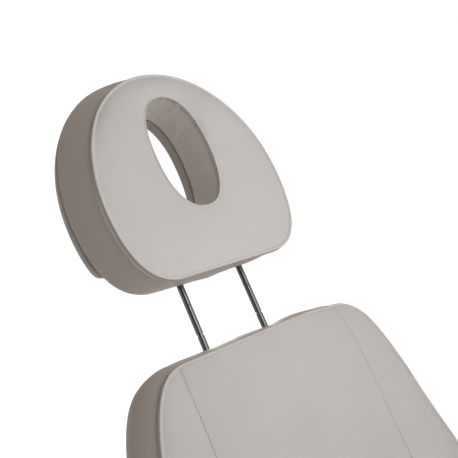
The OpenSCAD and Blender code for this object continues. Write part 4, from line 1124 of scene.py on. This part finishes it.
def board_margin(body, node, matrix):
    loop, level = rear_outline(node, matrix)
    low, high = local_box(node, matrix)
    thick = high[2] - low[2]
    out = loop_normals(loop)
    turn = np.arange(len(loop)) * 2 * math.pi / len(loop)
    cut = sum(height * np.sin(number * turn + phase) for height, number, phase in CUT_WAVES)
    # Stand-out from the board's edge and place along its thickness, then inwards on its rear
    rows = [(0.0004, thick - 0.0005), (MARGIN_PROUD, thick * 0.75), (MARGIN_PROUD, thick * 0.25),
            (0.0006, -0.0006), (-0.0020, -MARGIN_THICK), (-0.6 * MARGIN_WIDTH, -MARGIN_THICK),
            (-MARGIN_WIDTH + 0.0006, -0.0010), (-MARGIN_WIDTH, -0.0002)]
    rings = []
    for stand, rise in rows:
        reach = stand + (cut if stand < -CUT_FROM else 0)
        edge = loop + out * np.reshape(reach, (-1, 1))
        rings.append(at_level(edge, level + rise))
    points = [matrix @ Vector(q) for q in np.vstack(rings)]
    faces = join_rings(ring_index(len(rings), len(loop)), closed=False, flip=True)
    margin = add_part(f"{body}_margin", points, faces, "leather_back", body)
    # The turned-over margin takes the darker strip shade: painted shade
    mark(margin, "boxing", range(len(points)))
    path, lengths = measured(loop - out * STAPLE_INSET, closed=True)
    points, faces = [], []
    for d in np.arange(0, lengths[-1] - STAPLE_STEP / 2, STAPLE_STEP):
        a, b = [[np.interp(d + e, lengths, path[:, c]) for c in range(2)] for e in (0, STAPLE_L)]
        legs = [(*a, STAPLE_ROOT), (*a, STAPLE_TOP), (*b, STAPLE_TOP), (*b, STAPLE_ROOT)]
        line = [Vector(q) + Vector((0, 0, level)) for q in legs]
        add_tube(points, faces, line, STAPLE_R, 6, False)
    points = [matrix @ Vector(q) for q in points]
    add_part(f"{body}_staples", points, faces, "steel_plain", body)


# Places of the fasteners and tube ends, in millimetres in each part's own frame
X, Y, Z = 0, 1, 2
UP, DOWN = (0, 0, 1), (0, 0, -1)
HEADWARD, FOOTWARD = (0, 1, 0), (0, -1, 0)
SIDES = ((-1, "left"), (1, "right"))
TUBE = 25
BOARD_SCREW_X = 90
BACK_SCREWS_Y = (120, 240, 430, 550)
LEG_SCREWS_Y = (90, 170, 290, 370)
HEAD_SCREWS = [(48, 68, 0), (104, 175, 0)]
CROSS_BOLTS = [(-246.9, 487.5), (-155.8, 487.5)]
HINGE_BOLTS = [(y, z) for y in (78, 106) for z in (449, 481)]
ARM_FLANGE = 5
ARM_SCREWS = [(321, -295), (358, -295), (321, -175), (358, -175), (358, -60)]
COVER_SIDE = [(260, -300, 34), (260, 300, 34)]
COVER_FOOT = [(150, -380, 34)]
COVER_HEAD = [(190, 380, 34)]
PLATE_BOLTS = [(155, -105), (155, -45), (155, 45), (155, 105)]
SHROUD_SCREWS = [(112, y, 127) for y in (-70, 0, 70)]
DRIVE_X = 60
GEARBOX_SCREWS = ((0, -14.5), (0, 14.5), (-14, 0), (44, -15.5), (44, 15.5), (59.5, 0))
RAIL_X = 155
RAIL_Z = 465
RAIL_TUBE = (0.030, 0.070)
BACK_TUBE_END = (102.5, 587.5, -79.5)
LEG_TUBE_END = (102.5, 407.5, 22.5)


def both(places):
    """The same places on both sides."""
    return [(x * side, y, z) for side, _ in SIDES for x, y, z in places]


def face_at(node, axis, end, matrix=FLAT):
    """Place of a node's lowest (0) or highest (1) face along an axis, in millimetres."""
    return local_box(node, matrix)[end][axis] * 1000


def build_fasteners():
    rear = face_at("backrest_frame", Z, 0, BACK)
    places = both([(BOARD_SCREW_X, y, rear) for y in BACK_SCREWS_Y])
    screws("backrest_screws", "backrest", DOWN, places, M6, BACK)
    rear = face_at("leg_board", Z, 0, LEG) - TUBE
    places = both([(BOARD_SCREW_X, y, rear) for y in LEG_SCREWS_Y])
    screws("leg_rest_screws", "leg_rest", DOWN, places, M6, LEG)
    shell_rear = HEAD @ Matrix.Translation((0, 0, BACK_N))
    screws("headrest_screws", "headrest", DOWN, both(HEAD_SCREWS), M5, shell_rear)
    rail, plate = face_at("seat_rails", X, 1), face_at("back_hinge_plates", X, 1)
    for side, name in SIDES:
        out = (side, 0, 0)
        screws(f"rail_bolts_{name}", "seat", out, [(side * rail, y, z) for y, z in CROSS_BOLTS])
        screws(f"hinge_bolts_{name}", "seat", out, [(side * plate, y, z) for y, z in HINGE_BOLTS])
        flange = face_at(f"armrest_{name}_pad", Z, 0) - ARM_FLANGE
        places = [(side * x, y, flange) for x, y in ARM_SCREWS]
        screws(f"armrest_{name}_screws", f"armrest_{name}", DOWN, places, M5)
        screws(f"cover_screws_{name}", "base", out, [(side * x, y, z) for x, y, z in COVER_SIDE], M4)
    under = face_at("head_plate", Z, 0)
    screws("head_plate_bolts", "seat", DOWN, both([(x, y, under) for x, y in PLATE_BOLTS]), M8)
    screws("cover_screws_foot", "base", FOOTWARD, both(COVER_FOOT), M4)
    screws("cover_screws_head", "base", HEADWARD, both(COVER_HEAD), M4)
    screws("shroud_screws", "base", UP, both(SHROUD_SCREWS), M3)
    for name, side, facing, end, axle in (("back", 1, FOOTWARD, 0, 452), ("leg", -1, HEADWARD, 1, 395)):
        face = face_at(f"{name}_drive", Y, end)
        places = [(side * (DRIVE_X + x), face, axle + z) for x, z in GEARBOX_SCREWS]
        screws(f"{name}_gearbox_screws", "seat", facing, places, M3)


def build_trims():
    for word, facing, end in (("head", HEADWARD, 1), ("foot", FOOTWARD, 0)):
        places = both([(RAIL_X, face_at("seat_rails", Y, end), RAIL_Z)])
        plugs(f"rail_plugs_{word}", "seat", facing, places, *RAIL_TUBE)
    for side, word in SIDES:
        for body, matrix, (x, y, z) in (("backrest", BACK, BACK_TUBE_END), ("leg_rest", LEG, LEG_TUBE_END)):
            place, size = (side * x, y, z), TUBE / 1000
            plugs(f"{body}_plug_{word}", body, (side, 0, 0), [place], size, size, matrix)
    motor_bands("back_motor")
    motor_bands("leg_motor")
    board_margin("backrest", "backrest_board", BACK)
    board_margin("seat", "seat_board", FLAT)
    board_margin("leg_rest", "leg_board", LEG)


# Stage and light
FLOOR_SIZE = 60.0
FLOOR_WHITE = 0.86
FLOOR_BOUNCE = 0.14
FLOOR_COLOUR = (0.80, 0.78, 0.76)
CARD_SIZE = 3.2
CARD_COLOUR = (0.05, 0.048, 0.045)
CARD_PLACE = Vector((-2.6, -3.4, 0.6))
AMBIENT = (1.0, 0.89, 0.79)
AMBIENT_FRONT = 0.27
AMBIENT_BACK = 0.13
KEY_TARGET = 0.22
KEY_PLACE = (0.10, -0.20, 1.02)
KEY_COLOUR = (0.96, 0.985, 1.0)
LAMP_COLOUR = (1.0, 0.97, 0.94)


def add_plane(name, size, m, matrix=FLAT):
    MATERIALS[name] = m
    corners = [(x * size, y * size, 0) for x, y in ((-1, -1), (1, -1), (1, 1), (-1, 1))]
    plane = add_mesh(name, corners, [(0, 1, 2, 3)], name, matrix)
    return plane


def seen_by_eye(tree, share):
    """Share for rays from the camera, mirrors and glass, and 0 for the rest."""
    path = tree.nodes.new("ShaderNodeLightPath")
    value = path.outputs["Is Camera Ray"]
    for kind in ("Is Glossy Ray", "Is Transmission Ray"):
        value = add_node(tree, "Math", 0, {0: value, 1: path.outputs[kind]}, operation="MAXIMUM")
    return add_node(tree, "Math", 0, {0: value, 1: share}, operation="MULTIPLY")


def make_stage():
    m, tree, shader = new_material("floor")
    fill(shader, {"Base Color": rgba(FLOOR_COLOUR), "Roughness": 0.8, "Specular IOR Level": 0.0})
    level = add_node(tree, "Math", 0, {0: seen_by_eye(tree, FLOOR_WHITE), 1: FLOOR_BOUNCE}, operation="ADD")
    glow = add_node(tree, "Emission", "Emission", {"Strength": level})
    total = add_node(tree, "AddShader", "Shader", {0: shader.outputs["BSDF"], 1: glow})
    fill(tree.nodes["Material Output"], {"Surface": total})
    add_plane("floor", FLOOR_SIZE, m)
    # A dark studio card that only the polished metal reflects
    m, tree, shader = new_material("card")
    fill(shader, {"Base Color": rgba(CARD_COLOUR), "Roughness": 0.9})
    card = add_plane("card", CARD_SIZE, m, turned(FLAT, (grooves + CARD_PLACE) * 1000, -CARD_PLACE))
    for kind in ("camera", "diffuse", "transmission", "shadow"):
        setattr(card, f"visible_{kind}", False)


def make_world():
    world = bpy.data.worlds.new("studio")
    scene.world = world
    world.use_nodes = True
    tree = world.node_tree
    soft = tree.nodes["Background"]
    # The room is lighter on the side that the photograph was taken from
    place = add_node(tree, "TexCoord", "Generated", {})
    toward = add_node(tree, "VectorMath", "Value", {0: place, 1: LOOK}, operation="DOT_PRODUCT")
    strength = map_range(tree, toward, (AMBIENT_FRONT, AMBIENT_BACK), (-1, 1))
    fill(soft, {"Color": rgba(AMBIENT), "Strength": strength})
    white = add_node(tree, "Background", "Background", {"Color": (1, 1, 1, 1), "Strength": 1.0})
    inputs = {"Fac": seen_by_eye(tree, 1.0), 1: soft.outputs["Background"], 2: white}
    fill(tree.nodes["World Output"], {"Surface": add_node(tree, "MixShader", "Shader", inputs)})


def area(name, place, target, size, power, colour, spread_angle=180):
    """A round lamp that faces its target."""
    data = bpy.data.lights.new(name, "AREA")
    assign(data, shape="DISK", size=size, energy=power, color=colour, spread=math.radians(spread_angle))
    light = add_object(name, data)
    light.visible_camera = False
    light.location = place
    light.rotation_euler = (Vector(target) - Vector(place)).to_track_quat("-Z", "Y").to_euler()


def make_lights():
    """A soft lamp straight out from the head end, and two narrower ones for the rear and the base."""
    target = BACK @ Vector((0, GROOVE_ALONG + KEY_TARGET, ROD_DEPTH))
    area("key", target + BACK.to_3x3() @ Vector(KEY_PLACE), target, 0.8, 6.7, KEY_COLOUR)
    area("rear", (1.3, 2.2, 0.35), (0, 0.15, 0.35), 0.9, 8, LAMP_COLOUR, 34)
    area("low", (-1.7, -1.7, 0.25), (0, -0.1, 0.15), 0.7, 2.4, LAMP_COLOUR, 30)


scene.view_settings.view_transform = "Standard"
make_camera()
make_stage()
make_world()
make_lights()
dress_nodes()
build_headrest()
build_pads()
ease_edges()
build_fasteners()
build_trims()
